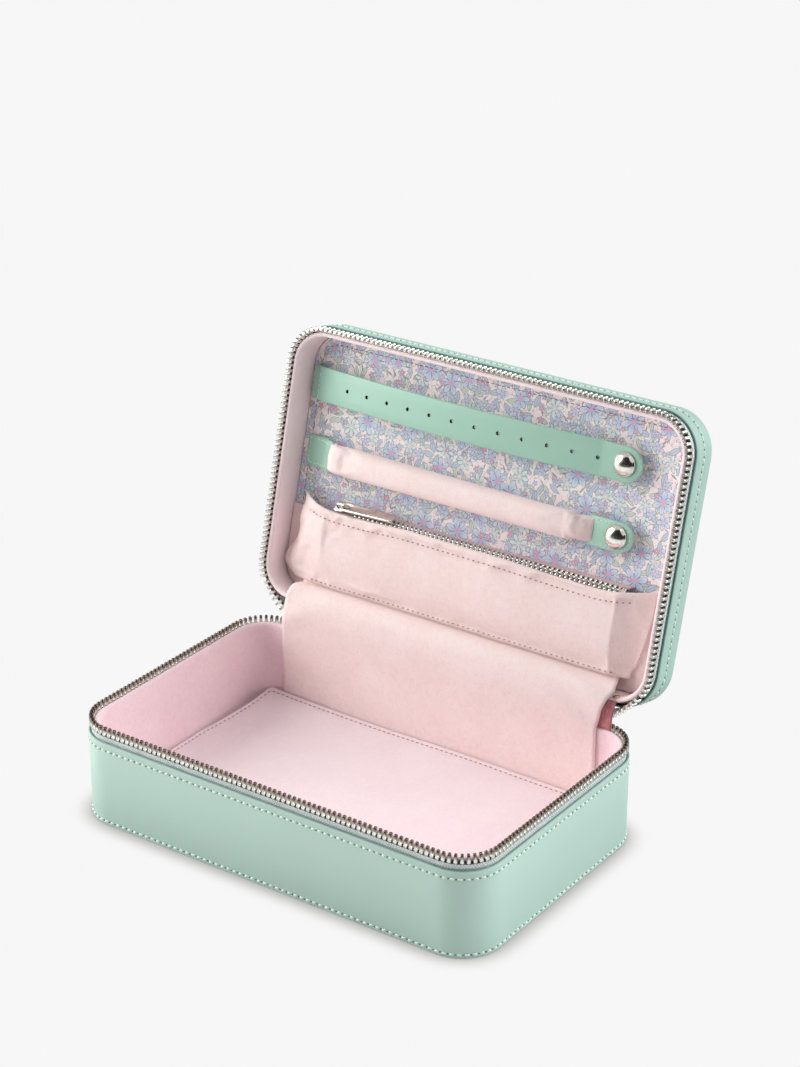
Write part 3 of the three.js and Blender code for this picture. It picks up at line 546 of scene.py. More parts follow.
def thickened(thing: Thing, thickness: float, offset: float = 0.0) -> None:
    """Gives a sheet its thickness.

    Args:
        thing: The sheet.
        thickness: Its thickness.
        offset: -1 grows it behind its faces and 0 to both sides.
    """
    solid = thing.modifiers.new("thickness", "SOLIDIFY")
    solid.thickness = thickness * MM
    solid.offset = offset
    solid.use_even_offset = True
    solid.use_quality_normals = True
    finished(thing)


@dataclass(frozen=True)
class Settling:
    """How a soft piece swells and creases: its pressure, its spare cloth and how far a point may move."""

    pressure: float = 4.0
    slack: float = 0.0
    cap: float = 2.0
    bending: float = 0.4
    tension: float = 15.0
    mass: float = 0.0006
    frames: int = 20

    def run(self, thing: Thing, held: Callable[[Vector], float]) -> None:
        """Lets the piece swell and keeps the result in its mesh.

        Args:
            thing: A mesh piece.
            held: How firmly a point in millimetres is held, from 0 to 1.
        """
        before = np.array([v.co for v in thing.data.vertices], float)
        group = thing.vertex_groups.new(name="held")
        for vertex in thing.data.vertices:
            group.add([vertex.index], held(vertex.co / MM), "REPLACE")
        cloth = thing.modifiers.new("cloth", "CLOTH")
        settings = cloth.settings
        settings.vertex_group_mass = "held"
        settings.quality = 6
        settings.mass = self.mass
        settings.tension_stiffness = settings.compression_stiffness = self.tension
        settings.shear_stiffness = self.tension / 3
        settings.bending_stiffness = self.bending
        settings.shrink_min = -self.slack
        settings.use_pressure = True
        settings.uniform_pressure_force = self.pressure
        settings.effector_weights.gravity = 0
        cloth.collision_settings.use_collision = False
        scene = bpy.context.scene
        cloth.point_cache.frame_start, cloth.point_cache.frame_end = 1, self.frames
        for step in range(1, self.frames + 1):
            scene.frame_set(step)
        graph = bpy.context.evaluated_depsgraph_get()
        after = np.array([v.co for v in thing.evaluated_get(graph).data.vertices], float)
        move = after - before
        far = np.linalg.norm(move, axis=1)
        limit = self.cap * MM
        move *= (limit * np.tanh(far / limit) / np.maximum(far, 1e-12))[:, None]
        thing.modifiers.remove(cloth)
        thing.vertex_groups.remove(group)
        scene.frame_set(1)
        thing.data.vertices.foreach_set("co", (before + move).ravel())
        thing.data.update()
        log.info("%s settled: mean move %.2f mm, most %.2f mm", thing.name, far.mean() / MM, far.max() / MM)


# Finishes


class Tree:
    """Short ways to add a tree's nodes and join them."""

    def __init__(self, tree: bpy.types.NodeTree) -> None:
        self.tree = tree
        tree.nodes.clear()

    def feed(self, socket: Socket, value: object) -> None:
        """Joins or sets an input.

        Args:
            socket: The input.
            value: A value, or the socket that feeds it.
        """
        if isinstance(value, Socket):
            self.tree.links.new(value, socket)
        else:
            socket.default_value = value

    def add(self, kind: str, inputs: dict[str | int, object] | None = None,
            **settings: object) -> bpy.types.Node:
        """Adds a node.

        Args:
            kind: The node's type.
            inputs: Its inputs, as values or sockets.
            settings: Its properties.

        Returns:
            The node.
        """
        node = self.tree.nodes.new(kind)
        for key, value in settings.items():
            setattr(node, key, value)
        for key, value in (inputs or {}).items():
            self.feed(node.inputs[key], value)
        return node

    def math(self, operation: str, first: object, second: object = 0.0) -> Socket:
        """One calculation."""
        return self.add("ShaderNodeMath", {0: first, 1: second}, operation=operation).outputs[0]

    def vector(self, operation: str, *values: object) -> Socket:
        """One calculation with vectors."""
        return self.add("ShaderNodeVectorMath", dict(enumerate(values)), operation=operation).outputs[0]


class Paint(Tree):
    """A material in the making."""

    def __init__(self, name: str) -> None:
        self.material = bpy.data.materials.new(name)
        self.material.use_nodes = True
        super().__init__(self.material.node_tree)

    def mix(self, share: object, first: object, second: object) -> Socket:
        """A mix of two colours."""
        return self.add("ShaderNodeMix", {0: share, 6: first, 7: second}, data_type="RGBA").outputs[2]

    def band(self, value: object, low: float, high: float, first: float = 0.0, last: float = 1.0) -> Socket:
        """A value brought from one range to another, held at the ends."""
        return self.add("ShaderNodeMapRange", {0: value, 1: low, 2: high, 3: first, 4: last},
                        interpolation_type="SMOOTHSTEP").outputs[0]

    def place(self) -> Socket:
        """Object coordinates."""
        return self.add("ShaderNodeTexCoord").outputs["Object"]

    def pattern(self) -> Socket:
        """The piece's own pattern places, in millimetres."""
        return self.add("ShaderNodeUVMap", uv_map="UVMap").outputs[0]

    def masked(self, name: str) -> Socket:
        """The mask of that name, which the mesh holds as an attribute."""
        return self.add("ShaderNodeAttribute", attribute_name=name).outputs["Fac"]

    def noise(self, where: object, size: float, detail: float = 2.0, rough: float = 0.5) -> Socket:
        """Soft noise whose patches are about that many metres wide."""
        return self.add("ShaderNodeTexNoise", {"Vector": where, "Scale": 1 / size, "Detail": detail,
                                               "Roughness": rough}).outputs["Fac"]

    def bump(self, height: object, distance: float, strength: float) -> Socket:
        """A relief of a depth in metres."""
        return self.add("ShaderNodeBump",
                        {"Height": height, "Distance": distance, "Strength": strength}).outputs[0]

    def surface(self, inputs: dict[str, object]) -> Material:
        """Ends the material with one main shader.

        Args:
            inputs: The shader's inputs.

        Returns:
            The material.
        """
        shader = self.add("ShaderNodeBsdfPrincipled", inputs)
        self.add("ShaderNodeOutputMaterial", {0: shader.outputs[0]})
        return self.material


@dataclass(frozen=True)
class Leatherette:
    """Smooth coated leather with a very fine grain; its edges are darkened, partly as dark edge paint and
    partly as painted shade of the gap beside the zip tape.
    """

    name: str = "mint_leatherette"
    colour: Colour = tone(191, 218, 209)
    deep: Colour = tone(186, 213, 203)
    # Edge colour: partly dark edge paint, partly painted shade of the gap beside the zip tape.
    edge: Colour = tone(62, 112, 102)
    roughness: float = 0.42
    grain: float = 0.0007

    def material(self) -> Material:
        """Builds the material.

        Returns:
            The material.
        """
        paint = Paint(self.name)
        place = paint.place()
        colour = paint.mix(paint.noise(place, 0.05, 3.0), self.colour, self.deep)
        cells = paint.add("ShaderNodeTexVoronoi",
                          {"Vector": place, "Scale": 1 / self.grain}).outputs["Distance"]
        pits = paint.noise(place, self.grain * 3)
        # Darker where the "edge" mask is set: partly edge paint, partly painted shade.
        colour = paint.mix(paint.masked("edge"), colour, self.edge)
        height = paint.math("ADD", paint.math("MULTIPLY", cells, 0.6), pits)
        rough = paint.band(pits, 0.2, 0.8, self.roughness - 0.05, self.roughness + 0.07)
        return paint.surface({
            "Base Color": colour, "Roughness": rough, "Normal": paint.bump(height, 0.00003, 0.35),
            "Specular IOR Level": 0.42, "Coat Weight": 0.06, "Coat Roughness": 0.3,
        })


@dataclass(frozen=True)
class Suedette:
    """Short-napped cloth with brushed patches and a soft sheen."""

    name: str = "pink_suedette"
    colour: Colour = tone(247, 225, 230)
    brushed: Colour = tone(244, 219, 225)
    shade: Colour = tone(226, 190, 198)
    light: Colour = tone(255, 242, 242)
    nap: float = 0.0005
    mottle: float = 0.2
    sheen: float = 0.2

    def material(self) -> Material:
        """Builds the material.

        Returns:
            The material.
        """
        paint = Paint(self.name)
        place = paint.place()
        patches = paint.band(paint.noise(place, 0.018, 4.0, 0.6), 0.3, 0.7)
        fibres = paint.noise(place, self.nap, 3.0, 0.7)
        streaks = paint.noise(
            paint.add("ShaderNodeMapping", {"Vector": place, "Scale": (1.0, 0.35, 0.35)}).outputs[0], 0.0011,
            3.0, 0.6)
        colour = paint.mix(patches, self.colour, self.brushed)
        mottle = paint.noise(place, self.nap * 4, 3.0, 0.65)
        colour = paint.mix(paint.band(mottle, 0.42, 0.72, 0.0, self.mottle), colour, self.shade)
        colour = paint.mix(paint.band(fibres, 0.35, 0.7, 0.0, 0.22), colour, self.shade)
        colour = paint.mix(paint.band(streaks, 0.45, 0.75, 0.0, 0.2), colour, self.light)
        height = paint.math("ADD", fibres, paint.math("MULTIPLY", streaks, 0.6))
        return paint.surface({
            "Base Color": colour, "Roughness": paint.band(patches, 0.0, 1.0, 0.86, 0.97),
            "Normal": paint.bump(height, 0.00009, 0.45),
            "Specular IOR Level": 0.15, "Sheen Weight": self.sheen, "Sheen Roughness": 0.5,
            "Sheen Tint": tone(255, 226, 226),
        })


@dataclass(frozen=True)
class Blossom:
    """One kind of small printed flower: how far apart, how large and in which colours."""

    cell: float
    radius: float
    petals: int
    share: float
    petal: Colour
    second: Colour
    heart: Colour
    shift: Pair = (0.0, 0.0)
    point: float = 2.2


@dataclass(frozen=True)
class PrintedCotton:
    """Plain-woven cotton with a close print of small flowers and leaves."""

    name: str = "ditsy_cotton"
    ground: Colour = tone(250, 238, 238)
    line: Colour = tone(128, 132, 160)
    leaf: Colour = tone(214, 224, 216)
    leaf_line: Colour = tone(128, 142, 138)
    blue_leaf: Colour = tone(196, 210, 230)
    thread: float = 0.34
    blossoms: tuple[Blossom, ...] = (
        Blossom(3.9, 1.6, 5, 0.28, tone(190, 202, 230), tone(214, 222, 239), tone(240, 214, 222), (11.0, 7.0)),
        Blossom(10.6, 4.5, 7, 0.55, tone(210, 227, 226), tone(228, 238, 236), tone(240, 220, 214),
                (5.0, 23.0)),
        Blossom(7.6, 3.3, 5, 0.5, tone(192, 206, 231), tone(218, 226, 241), tone(236, 200, 216), (41.0, 11.0)),
        Blossom(14.0, 6.0, 6, 0.6, tone(184, 203, 231), tone(214, 226, 242), tone(232, 172, 198), (31.0, 2.0)),
        Blossom(4.9, 1.5, 5, 0.22, tone(228, 146, 180), tone(240, 190, 210), tone(250, 226, 226),
                (19.0, 13.0)),
    )

    def scattered(self, paint: Paint, where: Socket, cell: float,
                  uneven: float) -> tuple[Socket, Sequence[Socket]]:
        """Strews cells over the cloth.

        Args:
            paint: The material in the making.
            where: The pattern places in millimetres.
            cell: The cells' spacing.
            uneven: How far they stray from even rows.

        Returns:
            The place within its cell, and three random shares for each cell.
        """
        cells = paint.add("ShaderNodeTexVoronoi", {"Vector": where, "Scale": 1 / cell, "Randomness": uneven},
                          voronoi_dimensions="2D").outputs
        local = paint.vector("SUBTRACT", where, cells["Position"])
        return local, paint.add("ShaderNodeSeparateColor", {0: cells["Color"]}).outputs

    def flower(self, paint: Paint, where: Socket, kind: Blossom, under: Socket) -> Socket:
        """Prints one kind of flower over what is there.

        Args:
            paint: The material in the making.
            where: The pattern places in millimetres.
            kind: The flower.
            under: The colour below.

        Returns:
            The colour with the flowers.
        """
        local, chance = self.scattered(paint, paint.vector("ADD", where, (*kind.shift, 0.0)), kind.cell, 0.72)
        split = paint.add("ShaderNodeSeparateXYZ", {0: local}).outputs
        reach = paint.add("ShaderNodeVectorMath", {0: local}, operation="LENGTH").outputs["Value"]
        angle = paint.math("ADD", paint.math("ARCTAN2", split[1], split[0]),
                           paint.math("MULTIPLY", chance[0], 6.283))
        notch = paint.math("ABSOLUTE", paint.math("SINE", paint.math("MULTIPLY", angle, kind.petals / 2)))
        size = paint.band(chance[2], 0.0, 1.0, 0.75 * kind.radius, 1.1 * kind.radius)
        edge = paint.math("MULTIPLY", size, paint.math(
            "SUBTRACT", 1.0, paint.math("MULTIPLY", paint.math("POWER", notch, kind.point), 0.5)))
        inside = paint.math("SUBTRACT", edge, reach)
        there = paint.math("LESS_THAN", chance[1], kind.share)
        body = paint.math("MULTIPLY", paint.band(inside, -0.1, 0.12), there)
        rim = paint.math("MULTIPLY", paint.band(paint.math("ABSOLUTE", inside), 0.06, 0.3, 1.0, 0.0), there)
        middle = paint.math("MULTIPLY", paint.band(notch, 0.04, 0.2, 0.5, 0.0),
                            paint.band(reach, 0.35 * kind.radius, 0.7 * kind.radius, 1.0, 0.0))
        between = paint.math("MULTIPLY", paint.band(notch, 0.9, 0.985, 0.0, 0.9),
                             paint.band(reach, 0.1 * kind.radius, 0.3 * kind.radius))
        fill = paint.mix(paint.band(paint.math("DIVIDE", reach, edge), 0.2, 0.95), kind.petal, kind.second)
        fill = paint.mix(paint.math("MAXIMUM", middle, between), fill, self.line)
        fill = paint.mix(paint.band(reach, 0.14 * kind.radius, 0.24 * kind.radius, 1.0, 0.0), fill, kind.heart)
        colour = paint.mix(body, under, fill)
        return paint.mix(paint.math("MULTIPLY", rim, 0.85), colour, self.line)

    def leaves(self, paint: Paint, where: Socket, cell: float, half: Pair, colour: Colour,
               under: object) -> Socket:
        """Prints pointed leaves, each turned its own way.

        Args:
            paint: The material in the making.
            where: The pattern places in millimetres.
            cell: The spacing.
            half: Half the leaf's length and width.
            colour: The leaf's colour.
            under: The colour below.

        Returns:
            The colour with the leaves.
        """
        local, chance = self.scattered(paint, where, cell, 0.9)
        turned = paint.add("ShaderNodeVectorRotate", {"Vector": local, "Axis": (0, 0, 1),
                                                      "Angle": paint.math("MULTIPLY", chance[0], 6.283)})
        split = paint.add("ShaderNodeSeparateXYZ", {0: turned.outputs[0]}).outputs
        along = paint.math("DIVIDE", split[0], half[0])
        side = paint.math("MULTIPLY", paint.math("SUBTRACT", 1.0, paint.math("MULTIPLY", along, along)),
                          half[1])
        side = paint.math("SUBTRACT", side, paint.math("LESS_THAN", chance[1], 0.4))
        across = paint.math("ABSOLUTE", split[1])
        inside = paint.math("SUBTRACT", side, across)
        fill = paint.mix(paint.band(across, 0.05, 0.16, 0.8, 0.0), colour, self.leaf_line)
        leafy = paint.mix(paint.band(inside, 0.0, 0.12), under, fill)
        return paint.mix(paint.band(paint.math("ABSOLUTE", inside), 0.06, 0.26, 0.8, 0.0), leafy,
                         self.leaf_line)

    def stems(self, paint: Paint, where: Socket, under: object) -> Socket:
        """Prints a web of thin curling stems.

        Args:
            paint: The material in the making.
            where: The pattern places in millimetres.
            under: The colour below.

        Returns:
            The colour with the stems.
        """
        bend = paint.add("ShaderNodeTexNoise",
                         {"Vector": where, "Scale": 0.22, "Detail": 1.0}).outputs["Color"]
        edge = paint.add("ShaderNodeTexVoronoi", {
            "Vector": paint.vector("MULTIPLY_ADD", bend, (7.0, 7.0, 0.0), where), "Scale": 1 / 3.6},
            feature="DISTANCE_TO_EDGE", voronoi_dimensions="2D").outputs["Distance"]
        return paint.mix(paint.band(edge, 0.015, 0.04, 0.6, 0.0), under, self.leaf_line)

    def material(self) -> Material:
        """Builds the material.

        Returns:
            The material.
        """
        paint = Paint(self.name)
        where = paint.pattern()
        colour = self.stems(paint, where, self.ground)
        colour = self.leaves(paint, where, 5.0, (3.0, 1.15), self.leaf, colour)
        shifted = paint.vector("ADD", where, (17.0, 9.0, 0.0))
        colour = self.leaves(paint, shifted, 6.0, (3.4, 1.3), self.blue_leaf, colour)
        for kind in self.blossoms:
            colour = self.flower(paint, where, kind, colour)
        split = paint.add("ShaderNodeSeparateXYZ", {0: where}).outputs
        warp, weft = (paint.math("SINE", paint.math("MULTIPLY", split[k], 2 * pi / self.thread))
                      for k in (0, 1))
        weave = paint.math("MULTIPLY", warp, weft)
        colour = paint.mix(paint.band(weave, -1.0, 1.0, 0.0, 0.1), colour, tone(255, 255, 255))
        return paint.surface({
            "Base Color": colour, "Roughness": paint.band(weave, -1.0, 1.0, 0.78, 0.9),
            "Normal": paint.bump(weave, 0.00004, 0.3), "Specular IOR Level": 0.25, "Sheen Weight": 0.1,
        })


@dataclass(frozen=True)
class ZipTape:
    """Herringbone-woven zip tape, patterned along its own length, with its beaded edge under the teeth
    darkened as painted shade.
    """

    name: str = "zip_tape"
    light: Colour = tone(252, 255, 254)
    dark: Colour = tone(160, 192, 190)
    # Colour of the beaded edge under the teeth: painted shade.
    cord: Colour = tone(62, 58, 54)
    rib: float = 1.3
    chevron: float = 2.6

    def material(self) -> Material:
        """Builds the material.

        Returns:
            The material.
        """
        paint = Paint(self.name)
        split = paint.add("ShaderNodeSeparateXYZ", {0: paint.pattern()})
        across = paint.math("FRACT", paint.math("DIVIDE", split.outputs[1], self.chevron))
        fold = paint.math("ABSOLUTE", paint.math("SUBTRACT", across, 0.5))
        slope = paint.math("ADD", split.outputs[0], paint.math("MULTIPLY", fold, self.chevron))
        rib = paint.math("SINE", paint.math("MULTIPLY", slope, 2 * pi / self.rib))
        colour = paint.mix(paint.band(rib, -0.6, 0.7), self.dark, self.light)
        colour = paint.mix(paint.noise(paint.place(), 0.004), colour, self.light)
        # Painted shade on the beaded edge under the teeth, where the mask is set.
        colour = paint.mix(paint.masked("cord"), colour, self.cord)
        return paint.surface({
            "Base Color": colour, "Roughness": paint.band(rib, -1.0, 1.0, 0.92, 0.76),
            "Normal": paint.bump(rib, 0.00012, 0.6), "Specular IOR Level": 0.25,
        })


@dataclass(frozen=True)
class Metal:
    """Plated metal with faint handling marks."""

    name: str = "nickel_plate"
    colour: Colour = tone(240, 237, 228)
    dull: Colour = tone(216, 212, 204)
    roughness: float = 0.12
    # Darker colour for the mask "tip": painted dark reflection on the heads of the base's zip teeth.
    tip: Colour | None = None

    def material(self) -> Material:
        """Builds the material, darker where the mask "tip" says so: painted dark reflection on the heads of
        the zip teeth.

        Returns:
            The material.
        """
        paint = Paint(self.name)
        marks = paint.noise(paint.place(), 0.0016, 4.0, 0.65)
        colour = paint.mix(paint.band(marks, 0.35, 0.75), self.colour, self.dull)
        # Painted dark reflection where the mask "tip" is set.
        if self.tip:
            colour = paint.mix(paint.masked("tip"), colour, self.tip)
        rough = paint.band(marks, 0.3, 0.8, self.roughness, self.roughness + 0.08)
        return paint.surface({
            "Base Color": colour, "Metallic": 1.0, "Roughness": rough,
            "Normal": paint.bump(marks, 0.000002, 0.1),
        })


@dataclass(frozen=True)
class Matte:
    """A dull surface with flecks, for pressed board, and as painted shade for needle holes and the walls of
    punched holes.
    """

    name: str
    colour: Colour
    fleck: Colour
    size: float = 0.002
    detail: Pair = (4.0, 0.7)
    spread: Pair = (0.35, 0.7)
    roughness: Pair = (0.85, 0.98)
    relief: Pair = (0.00005, 0.4)
    gloss: float = 0.2

    def material(self) -> Material:
        """Builds the material.

        Returns:
            The material.
        """
        paint = Paint(self.name)
        flecks = paint.noise(paint.place(), self.size, *self.detail)
        colour = paint.mix(paint.band(flecks, *self.spread), self.colour, self.fleck)
        return paint.surface({
            "Base Color": colour, "Roughness": paint.band(flecks, 0.0, 1.0, *self.roughness),
            "Normal": paint.bump(flecks, *self.relief), "Specular IOR Level": self.gloss,
        })


@dataclass(frozen=True)
class Thread(Matte):
    """Twisted sewing thread."""

    size: float = 0.00035
    detail: Pair = (2.0, 0.5)
    spread: Pair = (0.3, 0.7)
    roughness: Pair = (0.6, 0.8)
    relief: Pair = (0.00004, 0.5)
    gloss: float = 0.35


class Finishes:
    """Every material of the case, each built once."""

    def __init__(self) -> None:
        self.leather = Leatherette().material()
        # The lid's leatherette is a darker copy of the mint one: painted shade on the lid, which faces away
        # from the light.
        self.lid_leather = Leatherette("lid_leatherette", tone(176, 206, 196), tone(170, 201, 190)).material()
        self.strap_leather = Leatherette("green_leatherette", tone(163, 204, 186), tone(154, 196, 177),
                                         tone(84, 134, 112), 0.46).material()
        self.suedette = Suedette().material()
        # The floor pad's suedette: smoother mottle than the walls, and a slightly darker colour that paints
        # shade to offset the light from above.
        self.floor = Suedette("pale_suedette", tone(240, 226, 229), tone(237, 221, 225), tone(228, 205, 210),
                              mottle=0.12).material()
        # A lighter copy of the pink suedette for the lid's wall lining: painted light on the shaded inside of
        # the lid. Its sheen is stronger too.
        self.lid_suedette = Suedette("lid_suedette", tone(255, 240, 242), tone(253, 236, 238),
                                     tone(244, 216, 219), sheen=0.45).material()
        self.peach = Suedette("peach_suedette", tone(248, 232, 230), tone(245, 226, 223), tone(227, 199, 197),
                              nap=0.0006, mottle=0.22).material()
        # Deep pink for the strip behind the hinge lining's right edge: painted shade in the gap there.
        self.deep = Suedette("deep_suedette", tone(204, 134, 138), tone(194, 124, 130),
                             tone(170, 100, 108)).material()
        self.print = PrintedCotton().material()
        self.tape = ZipTape().material()
        self.pocket_tape = ZipTape("pocket_zip_tape", tone(228, 200, 204), tone(196, 160, 168)).material()
        self.nickel = Metal().material()
        # Its darker tip colour paints dark reflection on the heads of the base's teeth.
        self.zip_nickel = Metal("zip_nickel", tone(244, 244, 238), tone(222, 221, 214), 0.2,
                                tone(136, 124, 116)).material()
        self.brass = Metal("warm_brass", tone(216, 192, 164), tone(176, 148, 118), 0.22).material()
        self.mint_thread = Thread("mint_thread", tone(240, 250, 240), tone(212, 232, 220)).material()
        self.green_thread = Thread("green_thread", tone(222, 240, 228), tone(190, 220, 204)).material()
        self.pink_thread = Thread("pink_thread", tone(188, 134, 136), tone(164, 110, 114)).material()
        self.grey_thread = Thread("grey_thread", tone(150, 136, 138), tone(122, 110, 114)).material()
        # Dark matte for the needle-hole discs: painted shade.
        self.hole = Matte("needle_hole", tone(98, 140, 128), tone(80, 120, 110)).material()
        # Dark matte for the walls of the strap's punched holes: painted shade.
        self.core = Matte("punched_core", tone(46, 60, 54), tone(30, 42, 38)).material()
        self.board = Matte("pressed_board", tone(200, 184, 154), tone(176, 158, 126)).material()


# What repeats


@dataclass
class Guide:
    """A line of places with a way along it and a way up at each."""

    points: list[Vector]
    along: list[Vector]
    up: list[Vector]

    @classmethod
    def through(cls, points: Sequence[Vector], up: Vector | Sequence[Vector]) -> "Guide":
        """A guide through closely spaced points, with the way up at each of them or one way for all."""
        return cls(list(points), tangents(points), [up] * len(points) if isinstance(up, Vector) else list(up))

    def mapped(self, case: CaseSize) -> "Guide":
        """The guide carried round to the open lid."""
        return Guide([case.opened(p) for p in self.points], [case.turned(w) for w in self.along],
                     [case.turned(w) for w in self.up])

    def thing(self) -> Thing:
        """Makes a line of edges that holds the guide's ways as attributes.

        Returns:
            The object.
        """
        mesh = bpy.data.meshes.new("guide")
        mesh.from_pydata([tuple(p * MM) for p in self.points],
                         [(i, i + 1) for i in range(len(self.points) - 1)], [])
        for name, ways in (("along", self.along), ("up", self.up)):
            attribute = mesh.attributes.new(name, "FLOAT_VECTOR", "POINT")
            attribute.data.foreach_set("vector", [value for way in ways for value in way])
        return linked("guide", mesh)


class Rows(Tree):
    """A geometry tree that repeats a small piece along a guide at an even pitch."""

    def __init__(self) -> None:
        super().__init__(bpy.data.node_groups.new("repeat_along_guide", "GeometryNodeTree"))
        face = self.tree.interface
        self.keys = {name: face.new_socket(name, in_out="INPUT", socket_type=f"NodeSocket{kind}").identifier
                     for name, kind in (("Geometry", "Geometry"), ("Piece", "Object"), ("Pitch", "Float"),
                                        ("Unevenness", "Float"), ("Seed", "Int"), ("Finish", "Material"))}
        face.new_socket("Geometry", in_out="OUTPUT", socket_type="NodeSocketGeometry")
        self.build()

    def build(self) -> None:
        """Lays out the tree."""
        given = self.add("NodeGroupInput").outputs
        curve = self.add("GeometryNodeMeshToCurve", {"Mesh": given["Geometry"]}).outputs[0]
        share = self.math("DIVIDE", self.add("GeometryNodeCurveLength", {"Curve": curve}).outputs[0],
                          given["Pitch"])
        whole = self.add("ShaderNodeMath", {0: share}, operation="ROUND").outputs[0]
        places = self.add("GeometryNodeResampleCurve", {"Curve": curve, "Count": self.math("ADD", whole, 1.0)},
                          mode="COUNT").outputs[0]
        up, along = (self.add("GeometryNodeInputNamedAttribute", {"Name": name},
                              data_type="FLOAT_VECTOR").outputs[0]
                     for name in ("up", "along"))
        turn = self.add("FunctionNodeAxesToRotation", {0: up, 1: along}, primary_axis="Z", secondary_axis="X")
        less, more = (self.math(way, 1.0, given["Unevenness"]) for way in ("SUBTRACT", "ADD"))
        size = self.add("FunctionNodeRandomValue", {2: less, 3: more, "Seed": given["Seed"]},
                        data_type="FLOAT")
        info = self.add("GeometryNodeObjectInfo", {"Object": given["Piece"]}).outputs["Geometry"]
        spread = self.add("GeometryNodeInstanceOnPoints", {
            "Points": places, "Instance": info, "Rotation": turn.outputs[0], "Scale": size.outputs[1]})
        real = self.add("GeometryNodeRealizeInstances", {"Geometry": spread.outputs[0]})
        dressed = self.add("GeometryNodeSetMaterial",
                           {"Geometry": real.outputs[0], "Material": given["Finish"]})
        self.add("NodeGroupOutput", {"Geometry": dressed.outputs[0]})

    def repeat(self, name: str, guides: Sequence[Guide], piece: Draft, pitch: float, finish: Material,
               unevenness: float = 0.0, masks: Masks | None = None) -> Thing:
        """Repeats a piece along guides and joins the result into one mesh.

        Args:
            name: The new piece's name.
            guides: The lines.
            piece: The small piece round its own origin: X along, Z up.
            pitch: The spacing.
            finish: The material.
            unevenness: How much the pieces differ in size.
            masks: Named values for each point of the small piece.

        Returns:
            The object, a plain mesh.
        """
        source = piece.make(f"{name}_unit", finish, 50.0, masks)
        things = []
        for number, guide in enumerate(guides):
            line = guide.thing()
            rows = line.modifiers.new("rows", "NODES")
            rows.node_group = self.tree
            for key, value in (("Piece", source), ("Pitch", pitch * MM), ("Unevenness", unevenness),
                               ("Seed", 7 + number), ("Finish", finish)):
                rows[self.keys[key]] = value
            graph = bpy.context.evaluated_depsgraph_get()
            mesh = bpy.data.meshes.new_from_object(line.evaluated_get(graph), depsgraph=graph)
            bpy.data.objects.remove(line)
            things.append(linked(name, mesh))
        bpy.data.objects.remove(source)
        whole = things[0]
        if len(things) > 1:
            with bpy.context.temp_override(active_object=whole, selected_editable_objects=things,
                                           selected_objects=things):
                bpy.ops.object.join()
        whole.name = whole.data.name = name
        for attribute in ("along", "up"):
            if attribute in whole.data.attributes:
                whole.data.attributes.remove(whole.data.attributes[attribute])
        return whole


def rod(long: float, wide: float, high: float) -> Draft:
    """A short rod with rounded ends that dips at both, such as one stitch.

    Args:
        long, wide, high: Its whole length, width and height.

    Returns:
        The draft, along X.
    """
    return Draft.loft([[Vector((long * share, wide / 2 * thick * c, high * (0.5 * thick * s - drop)))
                        for c, s in circle(6)] for share, thick, drop in (
        (-0.5, 0.25, 0.62), (-0.42, 0.8, 0.35), (-0.2, 1.0, 0.05), (0.2, 1.0, 0.05), (0.42, 0.8, 0.35),
        (0.5, 0.25, 0.62))])


def tooth(width: float, thickness: float, reach: float, tip: float) -> Draft:
    """One zip tooth: legs that hold the tape below and a waisted head above.

    Args:
        width: Its size along the chain.
        thickness: Its size through the tape.
        reach, tip: How far it goes below and above the zip's middle line.

    Returns:
        The draft, whose head points along Z.
    """
    rings = []
    for z, wide, thick in ((-reach, 1.0, 0.9), (-reach * 0.86, 1.32, 1.1), (-reach * 0.6, 1.32, 1.1),
                           (-reach * 0.42, 1.0, 1.0), (tip * 0.3, 0.92, 0.96), (tip * 0.7, 1.0, 0.9),
                           (tip, 0.74, 0.62)):
        a, b = width / 2 * wide, thickness / 2 * thick
        flat_a, flat_b = 0.7 * a, 0.7 * b
        rings.append([Vector((x, y, z)) for x, y in (
            (a, -flat_b), (a, flat_b), (flat_a, b), (-flat_a, b), (-a, flat_b), (-a, -flat_b), (-flat_a, -b),
            (flat_a, -b))])
    return Draft.loft(rings)


def rounded(corners: Sequence[Pair], radius: float) -> list[Pair]:
    """A convex outline with rounded corners, counter-clockwise.

    Args:
        corners: Its corners, counter-clockwise.
        radius: The radius of each.

    Returns:
        The points, five at each corner.
    """
    plan = []
    for i, corner in enumerate(corners):
        here = Vector(corner)
        before = (Vector(corners[i - 1]) - here).normalized()
        after = (Vector(corners[(i + 1) % len(corners)]) - here).normalized()
        centre = here + (before + after) * radius
        for k in range(5):
            angle = pi / 2 * k / 4
            plan.append(tuple(centre - (after * cos(angle) + before * sin(angle)) * radius))
    return plan


def dimple(radius: float, depth: float) -> Draft:
    """A dark disc just proud of the surface: painted shade for a needle hole."""
    return Draft.loft([[Vector((r * c, 0.8 * r * s, z)) for c, s in circle(8)]
                       for r, z in ((radius, -depth), (radius * 0.8, 0.04), (radius * 0.3, 0.05))])


# The two halves of the shell


@dataclass
class Assembly:
    """What every part of the case is built from."""

    case: CaseSize
    finishes: Finishes
    rows: Rows

    @property
    def rim(self) -> Rim:
        """The case's outline."""
        return Rim(self.case)

    def rim_tooth(self) -> Draft:
        """One tooth of the chain round the rim."""
        case = self.case
        return tooth(case.tooth_width, case.tooth_thickness, case.tooth_reach, case.tooth_tip)

    def over(self, x: float, y: float, height: float) -> Vector:
        """Where a point at a height over the lid's panel lies once the lid is open."""
        return self.case.opened(Vector((x, y, self.case.panel_height - height)))


